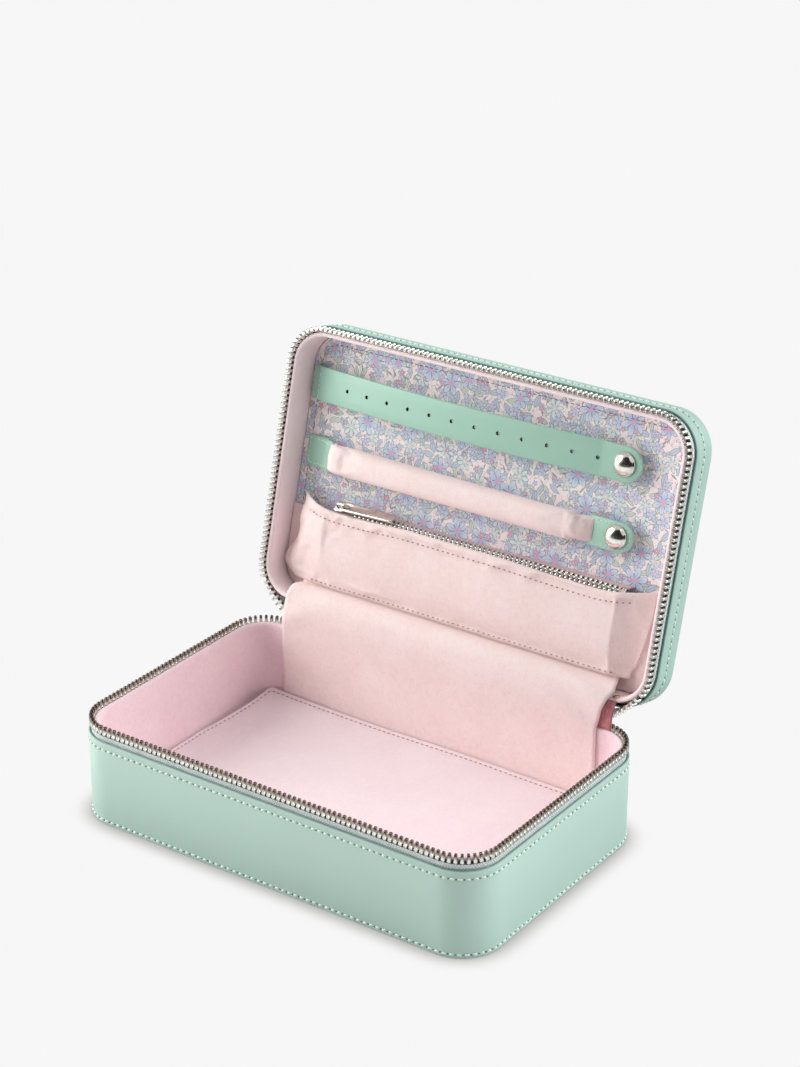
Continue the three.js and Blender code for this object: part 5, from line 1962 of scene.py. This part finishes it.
@dataclass
class EarringStrap(Assembly):
    """The bowed leather strap with its row of holes and its snap."""

    left: float = -100.0
    snap_x: float = 71.5
    past_snap: float = 8.6
    y: float = -38.1
    width: float = 16.0
    thickness: float = 1.6
    bow: float = 8.4
    seat_left: float = 0.6
    seat: float = 3.6
    flat_share: float = 0.93
    holes: int = 12
    hole: float = 1.8
    first_hole: float = 22.9
    last_hole: float = 13.7

    @property
    def end(self) -> float:
        """X of its rounded end."""
        return self.snap_x + self.past_snap

    def underside(self, x: float) -> float:
        """Shapes the strap's bow.

        Args:
            x: A place along the case.

        Returns:
            Height of its underside above the panel there.
        """
        share = min((x - self.left) / (self.snap_x - self.left), self.flat_share)
        flat = self.bow * 4 * self.flat_share * (1 - self.flat_share)
        rise = self.seat + self.case.gap - self.seat_left - flat
        return self.seat_left + self.bow * 4 * share * (1 - share) + rise * share / self.flat_share

    def stations(self) -> list[float]:
        """Chooses places along the strap, finer round its end.

        Returns:
            Their X in order.
        """
        straight = self.end - self.width / 2
        xs = [self.left + (straight - self.left) * i / 120 for i in range(121)]
        xs += [self.end - self.width / 2 * cos(pi / 2 * i / 14) for i in range(1, 14)]
        return [*xs, self.end - 0.02]

    def build(self) -> None:
        """Builds the strap, its stitches and its cap."""
        half, t = self.width / 2, self.thickness
        rings = []
        for x in self.stations():
            over = max(0.0, (x - (self.end - half)) / half)
            wide = max(half * sqrt(max(0.0, 1 - over * over)), 0.3)
            low, edge = self.underside(x), min(0.45, wide * 0.4)
            side = [(wide - edge, 0.0), (wide, 0.35), (wide, t - 0.5), (wide - edge * 0.4, t - 0.15),
                    (wide - edge, t), (wide * 0.45, t + 0.05)]
            rings.append([Vector((x, self.y + y, self.case.panel_height - low - h)) for y, h in (
                *((-y, h) for y, h in side), (0.0, t + 0.06), *reversed(side))])
        draft = Draft.loft(rings).placed(self.case.opened)
        thing = draft.make("earring_strap_leather", self.finishes.strap_leather, 40.0)
        self.punch(thing)
        settle(thing, Body.STRAP, Slot.LEATHER, "earring_strap")
        SnapCap(self.case, self.finishes, self.rows, Body.STRAP, "strap_snap_cap", self.snap_x, self.y,
                self.seat + 0.6 + self.thickness).build()
        x = self.left + 4.0
        level = self.case.panel_height - self.underside(x) - t - 0.1
        points = [Vector((x, self.y - half + 1.6 + (self.width - 3.2) * i / 12, level)) for i in range(13)]
        guide = Guide.through(points, Vector((0, 0, -1))).mapped(self.case)
        stitches = self.rows.repeat("strap_end_stitches", [guide], rod(2.0, 0.5, 0.4), 2.55,
                                    self.finishes.green_thread, 0.06)
        settle(stitches, Body.STRAP, Slot.LEATHER)

    def hole_places(self) -> list[Pair]:
        """Spaces the holes evenly along the bent strap.

        Returns:
            X and slope at each.
        """
        xs = [self.left + (self.snap_x - self.left) * i / 400 for i in range(401)]
        run = lengths([Vector((x, self.underside(x))) for x in xs])
        pitch = (run[-1] - self.first_hole - self.last_hole) / (self.holes - 1)
        found = []
        for i in range(self.holes):
            x = float(np.interp(self.first_hole + pitch * i, run, xs))
            found.append((x, atan(self.underside(x + 0.5) - self.underside(x - 0.5))))
        return found

    def punch(self, thing: Thing) -> None:
        """Cuts the holes.

        Args:
            thing: The strap.
        """
        cutter, radius = Draft(), self.hole / 2
        for x, slope in self.hole_places():
            rings = []
            for h in (-2.5, 2.5):
                ring = []
                for c, s in circle(16):
                    dx = radius * c * cos(slope) - h * sin(slope)
                    dz = radius * c * sin(slope) + h * cos(slope)
                    level = self.underside(x) + self.thickness / 2 + dz
                    ring.append(Vector((x + dx, self.y + radius * s, self.case.panel_height - level)))
                rings.append(ring)
            cutter.join(Draft.loft(rings).placed(self.case.opened))
        # The cut walls take the cutter's dark matte: painted shade inside the holes.
        tool = cutter.make("punch", self.finishes.core, 40.0)
        cut = thing.modifiers.new("holes", "BOOLEAN")
        cut.object = tool
        cut.operation = "DIFFERENCE"
        cut.solver = "EXACT"
        cut.material_mode = "TRANSFER"
        finished(thing)
        thing.data.set_sharp_from_angle(angle=radians(40))
        bpy.data.objects.remove(tool)


@dataclass
class RingRoll(Assembly):
    """The padded roll for rings, sewn to a tab at each end."""

    left: float = -84.6
    right: float = 61.2
    y: float = -5.8
    width: float = 13.4
    thickness: float = 11.6
    pinch: float = 2.4
    pinch_length: float = 9.0
    seat: float = 3.6
    roll_seat: float = 1.0
    tab_thickness: float = 1.5
    left_tab: float = 13.6
    tab_fold: Pair = (-5.0, 1.0)
    right_tab: float = 20.2
    tab_height: float = 14.6
    snap_past: float = 12.0
    shares: tuple[tuple[float, float, float, float, float], ...] = (
        (0, 0, 0, 0.98, 0), (0.25, 0, 0.45, 1, 0), (0.6, 0, 0.85, 1.01, 0), (1, 0, 1, 1, 0),
        (1, 0.15, 0.97, 0.985, 0), (1, 0.3, 1, 0.98, 0), (1, 0.45, 0.98, 0.97, 0), (1, 0.6, 1, 0.95, 0),
        (1, 0.75, 0.96, 0.93, 0), (-1, 1, 0.92, 0.9, 0), (-0.55, 1, 0.75, 0.88, 0.3),
        (-0.2, 1, 0.35, 0.86, 0.8), (0, 1, 0, 0.84, 1),
    )

    def section(self, x: float) -> tuple[float, float, float]:
        """Shapes the roll, with its pinched ends.

        Args:
            x: A place along the roll.

        Returns:
            Half width, half thickness and height of the middle there.
        """
        length = self.right - self.left
        table = [(self.left + self.pinch_length * a + length * b, c, d, e) for a, b, c, d, e in self.shares]
        xs = [row[0] for row in table]
        near = min(3.0, x - self.left, self.right - x)
        marks = [x + near * k / 3 for k in range(-3, 4)]
        thick, wide, up = (float(np.mean(np.interp(marks, xs, [row[k] for row in table]))) for k in (1, 2, 3))
        b = (self.pinch + (self.thickness - self.pinch) * thick) / 2
        tab_middle = self.seat + 0.3 + self.tab_thickness / 2
        centre = (self.roll_seat + b) * (1 - up) + tab_middle * up
        return self.width * wide / 2, b, centre

    def pad(self) -> None:
        """The stuffed roll."""
        sides, count, power, rings = 48, 110, 0.86, []
        for i in range(count + 1):
            x = self.left + (self.right - self.left) * i / count
            a, b, centre = self.section(x)
            gather = 0.05 * exp(-min(x - self.left, self.right - x) / 6.0)
            ring = []
            for k in range(sides):
                angle = 2 * pi * (k + 0.5) / sides
                pucker = 1 + gather * cos(7 * angle + 0.6) + 0.012 * ripple(x * 0.16, angle * 2.2)
                c, s = (copysign(abs(v) ** power, v) for v in (cos(angle), sin(angle)))
                ring.append(Vector((x, self.y + a * c * pucker,
                                    self.case.panel_height - centre - b * s * pucker)))
            rings.append(ring)
        thing = Draft.loft(rings).placed(self.case.opened).make("ring_roll_suedette", self.finishes.peach,
                                                                70.0)
        Settling(pressure=6.0, slack=0.02, cap=0.9, bending=0.2).run(
            thing, lambda p: 0.0 if self.left + 2.0 <= p.x <= self.right - 2.0 else 1.0)
        settle(thing, Body.ROLL, Slot.SUEDETTE, "ring_roll_pad")

    def rise(self, x: float) -> float:
        """How high the left tab lies over the panel, up to the roll's pinched end."""
        return 0.3 + 3.9 * smooth_step((x - (self.left - 6.0)) / 8.0)

    def left_tab_pieces(self) -> None:
        """The tab at the left end, bent from strips across it, and its square of stitches."""
        low, high = self.left - 0.3 - self.left_tab, self.left + 3.4
        half, t = self.tab_height / 2, self.tab_thickness
        rings = []
        for i in range(31):
            x = low + (high - low) * i / 30
            edge = min(x - low, high - x)
            wide = half - 0.8 + sqrt(max(0.0, 0.64 - max(0.0, 0.8 - edge) ** 2))
            thin = 0.25 if i in (0, 30) else 0.0
            side = [(wide - 0.3, thin), (wide, 0.4), (wide, t - 0.5), (wide - 0.18, t - 0.15),
                    (wide - 0.5, t - thin), (wide * 0.5, t + 0.04 - thin)]
            rings.append([self.over(x, self.y + y, self.rise(x) + z) for y, z in (
                *((-y, z) for y, z in side), (0, t + 0.05 - thin), *reversed(side))])
        tab = Draft.loft(rings).make("ring_roll_left_tab_leather", self.finishes.strap_leather, 40.0)
        self.follow_roll(tab)
        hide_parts("ring_roll_left_tab")
        inset = 1.6
        start, stop, side = low + inset, self.left + 2.0, half - inset
        square = self.fill([Vector((x, y, 0)) for x, y in (
            (start, -side), (stop, -side), (stop, side), (start, side), (start, -side))])
        for p in square:
            p.y += self.y
            p.z = self.case.panel_height - self.rise(p.x) - t - 0.08
        self.follow_roll(self.sewn("ring_roll_left_stitches", square))

    def right_tab_pieces(self) -> None:
        """The tab at the right end with its snap cap and its stitches."""
        half = (self.width + 0.3) / 2
        begin, end = self.right - 1.9, self.right + 0.3 + self.right_tab
        arc = [pi * (i / 24 - 0.5) for i in range(25)]
        plan = [(begin, -half), *((end - half + half * cos(a), half * sin(a)) for a in arc), (begin, half)]
        seat, t = self.seat + 0.3, self.tab_thickness
        levels = [(0.25, seat), (0.0, seat + 0.35), (0.0, seat + t - 0.5), (0.15, seat + t - 0.15),
                  (0.5, seat + t)]
        draft = Draft.slab(plan, levels).placed(lambda p: self.over(p.x, self.y + p.y, p.z))
        thing = draft.make("ring_roll_right_tab_leather", self.finishes.strap_leather, 35.0)
        settle(thing, Body.ROLL, Slot.LEATHER, "ring_roll_right_tab")
        SnapCap(self.case, self.finishes, self.rows, Body.ROLL, "ring_roll_snap_cap",
                self.right + self.snap_past, self.y, self.seat + 0.6 + self.tab_thickness).build()
        inner, first = half - 1.5, begin + 1.4
        loop = self.fill([Vector((x, self.y + y, 0)) for x, y in (
            (first, -inner), *((end - half + inner * cos(a), inner * sin(a)) for a in arc),
            (first, inner), (first, -inner))])
        for p in loop:
            p.z = self.case.panel_height - seat - t - 0.08
        settle(self.sewn("ring_roll_stitches", loop), Body.ROLL, Slot.LEATHER)

    def sewn(self, name: str, line: Sequence[Vector]) -> Thing:
        """Green stitches on the open lid, along a line of the closed one."""
        guide = Guide.through(line, Vector((0, 0, -1))).mapped(self.case)
        return self.rows.repeat(name, [guide], rod(1.6, 0.5, 0.4), 2.1, self.finishes.green_thread, 0.08)

    def follow_roll(self, thing: Thing) -> None:
        """Bakes a piece of the left tab into its place.

        Args:
            thing: The piece.
        """
        start, end = (self.over(self.left + x, self.y, 0.0) * MM for x in self.tab_fold)
        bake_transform(thing)

    @staticmethod
    def fill(corners: Sequence[Vector]) -> list[Vector]:
        """Fills a line of corners with points at most 1 mm apart.

        Args:
            corners: The corners.

        Returns:
            All its points.
        """
        dense: list[Vector] = []
        for p, q in zip(corners, corners[1:]):
            count = max(1, ceil((q - p).length))
            dense += [p.lerp(q, i / count) for i in range(count)]
        return dense + [corners[-1].copy()]

    def build(self) -> None:
        """Builds the roll and its tabs."""
        self.pad()
        self.left_tab_pieces()
        self.right_tab_pieces()


@dataclass
class Pocket(Assembly):
    """The zipped pocket: a gathered front, its zip with slider and pull, and its stitches."""

    half_width: float = 97.0
    zip_left: float = -64.0
    zip_right: float = 81.0
    slider_x: float = -69.0
    zip_y: float = 16.8
    zip_height: float = 6.6
    tilt: float = 45.0
    stand_up: float = 22.0
    tooth_pitch: float = 2.5
    tooth_thickness: float = 2.0
    tooth_reach: float = 2.2
    seam_y: float = 55.0
    seam_height: float = 6.4
    bulge: float = 11.6
    cloth: float = 1.2
    side_rise: float = 2.2
    hem_back: float = 1.0
    corner_rise: float = 4.0
    ruck: float = 1.2
    shoulder: float = 0.78
    rise_start: float = 0.74
    profile: tuple[Pair, ...] = (
        (0, 0), (0.04, 0.22), (0.12, 0.4), (0.25, 0.62), (0.42, 0.8), (0.58, 0.88), (0.74, 0.8), (0.86, 0.55),
        (0.95, 0.22), (1, 0))
    left_spread: tuple[float, ...] = (-0.03, -0.03, -0.03, -0.03, -0.03, -0.005, 0.04, 0.045, 0.0, -0.03)
    right_tuck: tuple[float, ...] = (0, 0, 0, 0, -0.01, -0.02, -0.035, -0.05, -0.06, -0.07)
    right_shoulder: float = 0.84

    @property
    def tape_start(self) -> float:
        """How far the tapes begin from the middle of the chain."""
        return self.tooth_reach + 0.3

    def lean(self, x: float) -> float:
        """How steeply the chain leans at a place along it: it stands up past the slider."""
        return self.tilt - self.stand_up * smooth_step((x + 62) / 34) * (1 - 0.75 * smooth_step((x - 15) / 45))

    def front_point(self, across: float, v: float) -> Vector:
        """A point of the front's outer face.

        Args:
            across: From -1 at the left to 1 at the right.
            v: From 0 at the zipped edge to 1 at the hem, and a little more where it turns under.

        Returns:
            The point in the closed position.
        """
        if v > 1:
            hem = self.front_point(across, 1.0)
            return hem + Vector((0, 0.5 - 5.0 * (v - 1.0) * 2, 14.0 * (v - 1.0)))
        along, out = self.tape_start + self.hem_back, 0.25 + 0.3 + self.cloth
        angle = radians(self.lean(across * self.half_width))
        top_y = self.zip_y + along * sin(angle) - out * cos(angle)
        top_h = self.zip_height + along * cos(angle) + out * sin(angle)
        vs = [row[0] for row in self.profile]
        swell = self.soft(v, vs, [row[1] for row in self.profile])
        pull = self.soft(v, vs, self.left_spread if across < 0 else self.right_tuck)
        shoulder, bend = (self.shoulder, 1.8) if across < 0 else (self.right_shoulder, 1.15)
        fall = max(0.0, (abs(across) - shoulder) / (1 - shoulder)) ** bend
        rise = max(0.0, (abs(across) - self.rise_start) / (1 - self.rise_start)) ** 1.3
        y = top_y + (self.seam_y - top_y) * v - rise * self.corner_rise * (1 - v)
        edge = self.side_rise + self.cloth
        ruck = self.ruck * sin(across * 2.5 * pi) * v * (1 - v)
        full = top_h + (self.seam_height - top_h) * v + (self.bulge - self.seam_height) * swell + ruck
        height = full + (edge - full) * fall
        return Vector((across * self.half_width * (1 + pull * fall), y, self.case.panel_height - height))

    @staticmethod
    def soft(v: float, xs: Sequence[float], ys: Sequence[float]) -> float:
        """Reads a table, averaged over a short stretch so that it has no corners.

        Args:
            v: The place to read.
            xs, ys: The table.

        Returns:
            The value there.
        """
        reach = 0.03
        marks = [min(1.0, max(0.0, v + reach * k)) for k in (-1, -0.5, 0, 0.5, 1)]
        weight = min(1.0, v / 0.02, (1 - v) / 0.02) if 0 < v < 1 else 0.0
        spread = float(np.mean(np.interp(marks, xs, ys)))
        return weight * spread + (1 - weight) * float(np.interp(v, xs, ys))

    def front(self) -> None:
        """The gathered front, which swells and creases a little."""
        columns, lines = 132, 44
        rings = []
        levels = [*(k / lines for k in range(lines + 1)), 1.04, 1.09]
        for c in range(columns + 1):
            share = 2 * c / columns - 1
            across = copysign(1 - (1 - abs(share)) ** 1.25, share)
            rings.append([self.front_point(across, v) for v in levels])
        draft = Draft.loft(rings, closed_section=False).mapped(self.case.opened)
        thing = draft.make("pocket_suedette", self.finishes.peach, 80.0)
        top, hem = (self.case.opened(self.front_point(0, v)) for v in (0, 1))
        up = self.case.turned(Vector((0, 1, 0)))

        def held(p: Vector) -> float:
            """Holds what lies on an edge that is sewn down."""
            sewn = (p - top).dot(up) < 1.5 or (hem - p).dot(up) < 0.8 or abs(p.x) > self.half_width * 0.985
            return 1.0 if sewn else 0.0

        Settling(pressure=3.0, slack=0.02, cap=2.0, bending=0.3).run(thing, held)
        thickened(thing, 1.0, -1.0)
        long = lengths([self.front_point(0, k / 40) for k in range(41)])[-1]
        settle(thing, Body.LID, Slot.SUEDETTE, "pocket_front")

    def chain_point(self, x: float, out: float, down: float) -> Vector:
        """A point of the zip's own frame in the closed position.

        Args:
            x: Along the case.
            out: Out of the chain.
            down: Towards the pocket's front.

        Returns:
            The point.
        """
        turn = radians(self.lean(x) - 180)
        c, s = cos(turn), sin(turn)
        height = self.case.panel_height - self.zip_height + out * s + down * c
        return Vector((x, self.zip_y + out * c - down * s, height))

    def chain_way(self, x: float, out: float, down: float) -> Vector:
        """A direction of the zip's own frame there, in the closed position."""
        return self.chain_point(x, out, down) - self.chain_point(x, 0, 0)

    def zip(self) -> None:
        """Tapes and teeth of the pocket's zip."""
        count = floor((self.zip_right - self.zip_left) / self.tooth_pitch)
        left, right = self.slider_x - 5.3, self.zip_right + self.tooth_pitch
        tape_wide = (self.zip_height - 0.3) / cos(radians(self.tilt)) - self.tape_start - 0.5
        for name, way, shift, wide in (("upper", -1, 0.0, tape_wide), ("lower", 1, 0.5, 1.4)):
            first = self.zip_left + (0.5 + shift) * self.tooth_pitch
            points = [self.chain_point(first + self.tooth_pitch * (count - 1) * i / 60, 0, 0)
                      for i in range(61)]
            guide = Guide.through(points, [self.chain_way(p.x, 0, -way) for p in points]).mapped(self.case)
            teeth = self.rows.repeat(f"pocket_{name}_zip_teeth", [guide],
                                     tooth(1.1, self.tooth_thickness, self.tooth_reach, 0.62),
                                     self.tooth_pitch, self.finishes.zip_nickel)
            settle(teeth, Body.LID, Slot.NICKEL, f"pocket_{name}_teeth")
            start, stop = self.tape_start, self.tape_start + wide
            section = ((-0.25, stop), (-0.25, start), (-0.5, 1.7), (-0.2, 1.2), (0.2, 1.2), (0.5, 1.7),
                       (0.25, start), (0.25, stop))
            rings = []
            for i in range(41):
                x = left + (right - left) * i / 40
                ring = [self.case.opened(self.chain_point(x, out, way * down)) for out, down in section]
                if name == "upper":
                    back = self.zip_y - 1.4 * sin(radians(self.lean(x))) * 2
                    ring[0], ring[-1] = (self.over(x, back - section[k][0], 0.4) for k in (0, -1))
                rings.append(ring)
            # The tape's beaded edge near the chain is darkened as painted shade.
            tape = Draft.loft(rings).make(f"pocket_{name}_zip_tape", self.finishes.pocket_tape, 60.0,
                                          {"cord": self.cord_shade_mask})
            settle(tape, Body.LID, Slot.TAPE, f"pocket_{name}_tape")

    def cord_shade_mask(self, p: Vector) -> float:
        """Marks the tape's beaded edge near the middle of the chain, which is darkened as painted shade."""
        return 1 - smooth_step(((p - self.case.opened(self.chain_point(p.x, 0, 0))).length - 1.6) / 0.4)

    def slider(self) -> None:
        """The slider with its flat pull."""
        maker = Slider(self.tooth_thickness / 2 + 0.4, 2 * self.tape_start)
        seat = Vector((0, maker.seat, 0))
        for draft, name, body in (
            (maker.body(0.0), "slider", Body.POCKET_SLIDER),
            (maker.pull().mapped(lambda p: p + seat), "pull", Body.POCKET_PULL),
        ):
            placed = draft.placed(lambda p: self.case.opened(self.chain_point(self.slider_x + p.x, p.y, p.z)))
            settle(placed.make(f"pocket_{name}_metal", self.finishes.nickel), body, Slot.NICKEL,
                         f"pocket_{name}")

    def stop(self) -> None:
        """The folded metal stop at the chain's end."""
        x = self.zip_right + 1.2
        half = self.tooth_reach * 0.95
        plan = rounded([(-1.0, -half), (1.0, -half), (1.0, half), (-1.0, half)], 0.45)
        draft = Draft.slab(plan, [(0.25, -1.25), (0.0, -0.95), (0.0, 0.95), (0.25, 1.25)])
        placed = draft.placed(lambda p: self.case.opened(self.chain_point(x + p.x, p.z, p.y)))
        settle(placed.make("pocket_stop_metal", self.finishes.nickel), Body.LID, Slot.NICKEL,
               "pocket_zip_stop")

    def trim(self) -> None:
        """The suedette strip that covers the panel between the pocket and the lid's rear wall."""
        case = self.case
        inset, start = case.wall + 0.35, 21.0
        radius = case.corner - inset
        edge = case.length / 2 - inset
        arc = [(case.straight_x + radius * cos(a), case.straight_y + radius * sin(a))
               for a in (pi / 2 * i / 12 for i in range(13))]
        arc = [p for p in arc if p[1] > start]
        plan = [(-edge, start), (edge, start), *arc, *((-x, y) for x, y in reversed(arc))]
        draft = Draft.slab(plan, [(0.2, 0.12), (0.0, 0.4), (0.1, 0.8), (0.5, 1.0)])
        thing = draft.placed(lambda p: self.over(p.x, p.y, p.z)).make("lid_rear_trim", self.finishes.peach,
                                                                      50.0)
        settle(thing, Body.LID, Slot.SUEDETTE)

    def stitches(self) -> None:
        """The row below the zip, which turns up at its right end, and the row along the hem."""
        guides = []
        for v, low, high in ((0.115, -0.9, 0.9), (0.955, -0.84, 0.86)):
            points, ups = [], []
            for i in range(121):
                across = low + (high - low) * i / 120
                here = self.front_point(across, v)
                toward = self.front_point(across, v + 0.02) - here
                side = self.front_point(across + 0.01, v) - here
                out = side.cross(toward).normalized()
                if out.z > 0:
                    out.negate()
                points.append(here + out * 0.25)
                ups.append(out)
            guides.append(Guide.through(points, ups).mapped(self.case))
        thing = self.rows.repeat("pocket_stitches", guides, rod(1.1, 0.6, 0.45), 2.8,
                                 self.finishes.pink_thread, 0.08)
        settle(thing, Body.LID, Slot.SUEDETTE)

    def build(self) -> None:
        """Builds the pocket."""
        self.front()
        self.zip()
        self.slider()
        self.stop()
        self.trim()
        self.stitches()


@dataclass
class PanelStitches(Assembly):
    """The row of stitches along the printed panel's edge."""

    inset: float = 4.6
    pitch: float = 2.8

    def build(self) -> None:
        """Builds the row."""
        reach = self.rim.half - self.case.straight_x - 22.0
        points = [self.rim.point(stop, self.case.wall + self.inset, self.case.panel_height - 0.12)
                  for stop in self.rim.stations(-reach, reach, 2.0)]
        guide = Guide.through(points, Vector((0, 0, -1))).mapped(self.case)
        thing = self.rows.repeat("panel_stitches", [guide], rod(1.8, 0.4, 0.34), self.pitch,
                                 self.finishes.grey_thread, 0.08)
        settle(thing, Body.LID, Slot.PRINT)


# Floor, light and camera


def toward(azimuth: float, elevation: float) -> Vector:
    """A direction from the case, in degrees round it from the front and up."""
    az, el = radians(azimuth), radians(elevation)
    return Vector((sin(az) * cos(el), -cos(az) * cos(el), sin(el)))


@dataclass(frozen=True)
class Studio:
    """The pale floor, the soft lamps, the world and the camera."""

    azimuth: float = 35.598
    elevation: float = 25.324
    roll: float = -0.128
    focal: float = 2628.949
    shift: Pair = (18.295, 31.904)
    place: tuple[float, float, float] = (597.887, -815.821, 604.866)
    frame_height: float = 1067.0
    backdrop: Colour = tone(247, 247, 247)
    shadow: Colour = tone(176, 176, 173)
    shadow_reach: float = 0.013
    sky: float = 0.92
    dark: Pair = (30.0, 8.0)
    dark_crisp: Pair = (32.0, 2.0)
    dark_behind: Pair = (215.0, 12.0)

    def camera(self) -> None:
        """The camera at the photograph's place."""
        data = bpy.data.cameras.new("camera")
        data.sensor_width = 36.0
        data.lens = self.focal * 36.0 / self.frame_height
        data.shift_x, data.shift_y = self.shift[0] / self.frame_height, self.shift[1] / self.frame_height
        data.clip_start, data.clip_end = 0.05, 20.0
        thing = linked("camera", data)
        az, el, roll = (radians(v) for v in (self.azimuth, self.elevation, self.roll))
        back = Vector((sin(az) * cos(el), -cos(az) * cos(el), sin(el)))
        right = Vector((cos(az), sin(az), 0))
        up = back.cross(right)
        x = right * cos(roll) + up * sin(roll)
        y = up * cos(roll) - right * sin(roll)
        turn = Matrix((x, y, back)).transposed().to_4x4()
        thing.matrix_world = Matrix.Translation(Vector(self.place) * MM) @ turn
        bpy.context.scene.camera = thing

    def floor(self) -> None:
        """A plain pale floor that keeps the soft shadow near the case."""
        paint = Paint("pale_floor")
        cloud = paint.noise(paint.place(), 0.4)
        colour = paint.mix(cloud, (0.74, 0.74, 0.74, 1.0), (0.72, 0.72, 0.72, 1.0))
        closed = paint.add("ShaderNodeAmbientOcclusion", {"Distance": self.shadow_reach}, samples=16)
        seen = paint.mix(paint.band(closed.outputs["AO"], 0.35, 0.97), self.shadow, self.backdrop)
        plain = paint.add("ShaderNodeBsdfDiffuse", {"Color": colour, "Roughness": 0.9})
        glow = paint.add("ShaderNodeEmission", {"Color": seen, "Strength": 1.0})
        camera = paint.add("ShaderNodeLightPath").outputs["Is Camera Ray"]
        both = paint.add("ShaderNodeMixShader", {0: camera, 1: plain.outputs[0], 2: glow.outputs[0]})
        paint.add("ShaderNodeOutputMaterial", {0: both.outputs[0]})
        draft = Draft([Vector((x * 6000, y * 6000, 0)) for x, y in ((-1, -1), (1, -1), (1, 1), (-1, 1))],
                      [(0, 1, 2, 3)], [((0, 0), (1, 0), (1, 1), (0, 1))])
        draft.make("floor", paint.material)

    def world(self) -> None:
        """The world: the backdrop for the camera, and a bright studio with one dark side for the rest."""
        world = bpy.data.worlds.new("studio")
        bpy.context.scene.world = world
        world.use_nodes = True
        sky = Tree(world.node_tree)
        path = sky.add("ShaderNodeLightPath").outputs
        way = sky.add("ShaderNodeTexCoord").outputs["Generated"]
        split = sky.add("ShaderNodeSeparateXYZ", {0: way}).outputs

        def ranged(value: object, low: float, high: float, first: float, last: float) -> Socket:
            """A value brought from one range to another."""
            return sky.add("ShaderNodeMapRange", {0: value, 1: low, 2: high, 3: first, 4: last}).outputs[0]

        facing, crisp_facing = (sky.add("ShaderNodeVectorMath", {0: way, 1: toward(*side)},
                                        operation="DOT_PRODUCT")
                                .outputs["Value"] for side in (self.dark, self.dark_crisp))
        soft = ranged(facing, 0.25, 0.85, 1.0, 0.0)
        crisp = ranged(crisp_facing, 0.34, 0.42, 1.15, 0.03)
        behind = sky.add("ShaderNodeVectorMath", {0: way, 1: toward(*self.dark_behind)},
                         operation="DOT_PRODUCT")
        crisp = sky.math("MULTIPLY", crisp, ranged(behind.outputs["Value"], 0.55, 0.85, 1.0, 0.3))
        height = ranged(split[2], -0.1, 1.0, 1.0, 0.58)
        diffuse, glossy = (sky.math("MULTIPLY", level, height) for level in (soft, crisp))
        level = sky.add("ShaderNodeMix", {0: path["Is Glossy Ray"], 2: diffuse, 3: glossy}, data_type="FLOAT")
        strength = sky.math("MULTIPLY", level.outputs[0], self.sky)
        lit = sky.add("ShaderNodeBackground", {0: (1.0, 1.0, 1.0, 1.0), 1: strength})
        seen = sky.add("ShaderNodeBackground", {0: self.backdrop, 1: 1.0})
        both = sky.add("ShaderNodeMixShader",
                       {0: path["Is Camera Ray"], 1: lit.outputs[0], 2: seen.outputs[0]})
        sky.add("ShaderNodeOutputWorld", {0: both.outputs[0]})

    def lamps(self) -> None:
        """A broad soft lamp near the case at the left, and far ones at the right rear and the front right."""
        for name, kind, strength, tint, azimuth, elevation, away in (
            ("left", "AREA", 8.4, (1.0, 0.99, 0.965), -62.0, 30.0, 1.0),
            ("right", "SUN", 1.9, (0.95, 0.99, 1.0), 125.0, 34.0, 2.0),
            ("front", "SUN", 0.42, (1.0, 0.98, 0.98), 68.0, 52.0, 2.0),
        ):
            data = bpy.data.lights.new(name, kind)
            data.energy = strength
            data.color = tint
            if kind == "AREA":
                data.shape = "DISK"
                data.size = 0.85
            else:
                data.angle = radians(50.0)
            thing = linked(name, data)
            way = toward(azimuth, elevation)
            thing.rotation_mode = "QUATERNION"
            thing.rotation_quaternion = way.to_track_quat("Z", "Y")
            thing.location = way * away

    def build(self) -> None:
        """Sets up the studio."""
        bpy.context.scene.view_settings.view_transform = "Standard"
        self.camera()
        self.floor()
        self.world()
        self.lamps()


def main() -> None:
    """Builds the case and the studio, and reports each piece."""
    logging.basicConfig(level=logging.INFO, format="%(name)s: %(message)s")
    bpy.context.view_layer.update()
    case, finishes, rows = CaseSize(), Finishes(), Rows()
    Studio().build()
    ShellHalf(case, finishes, rows, "base", Body.BASE, case.base_cover, (1.9, 38.0)).build()
    ShellHalf(case, finishes, rows, "lid", Body.LID, case.lid_cover, (7.4,)).build()
    for part in (FloorPad, SoftHinge, EarringStrap, RingRoll, Pocket, PanelStitches, Fittings):
        part(case, finishes, rows).build()


if __name__ == "__main__":
    main()
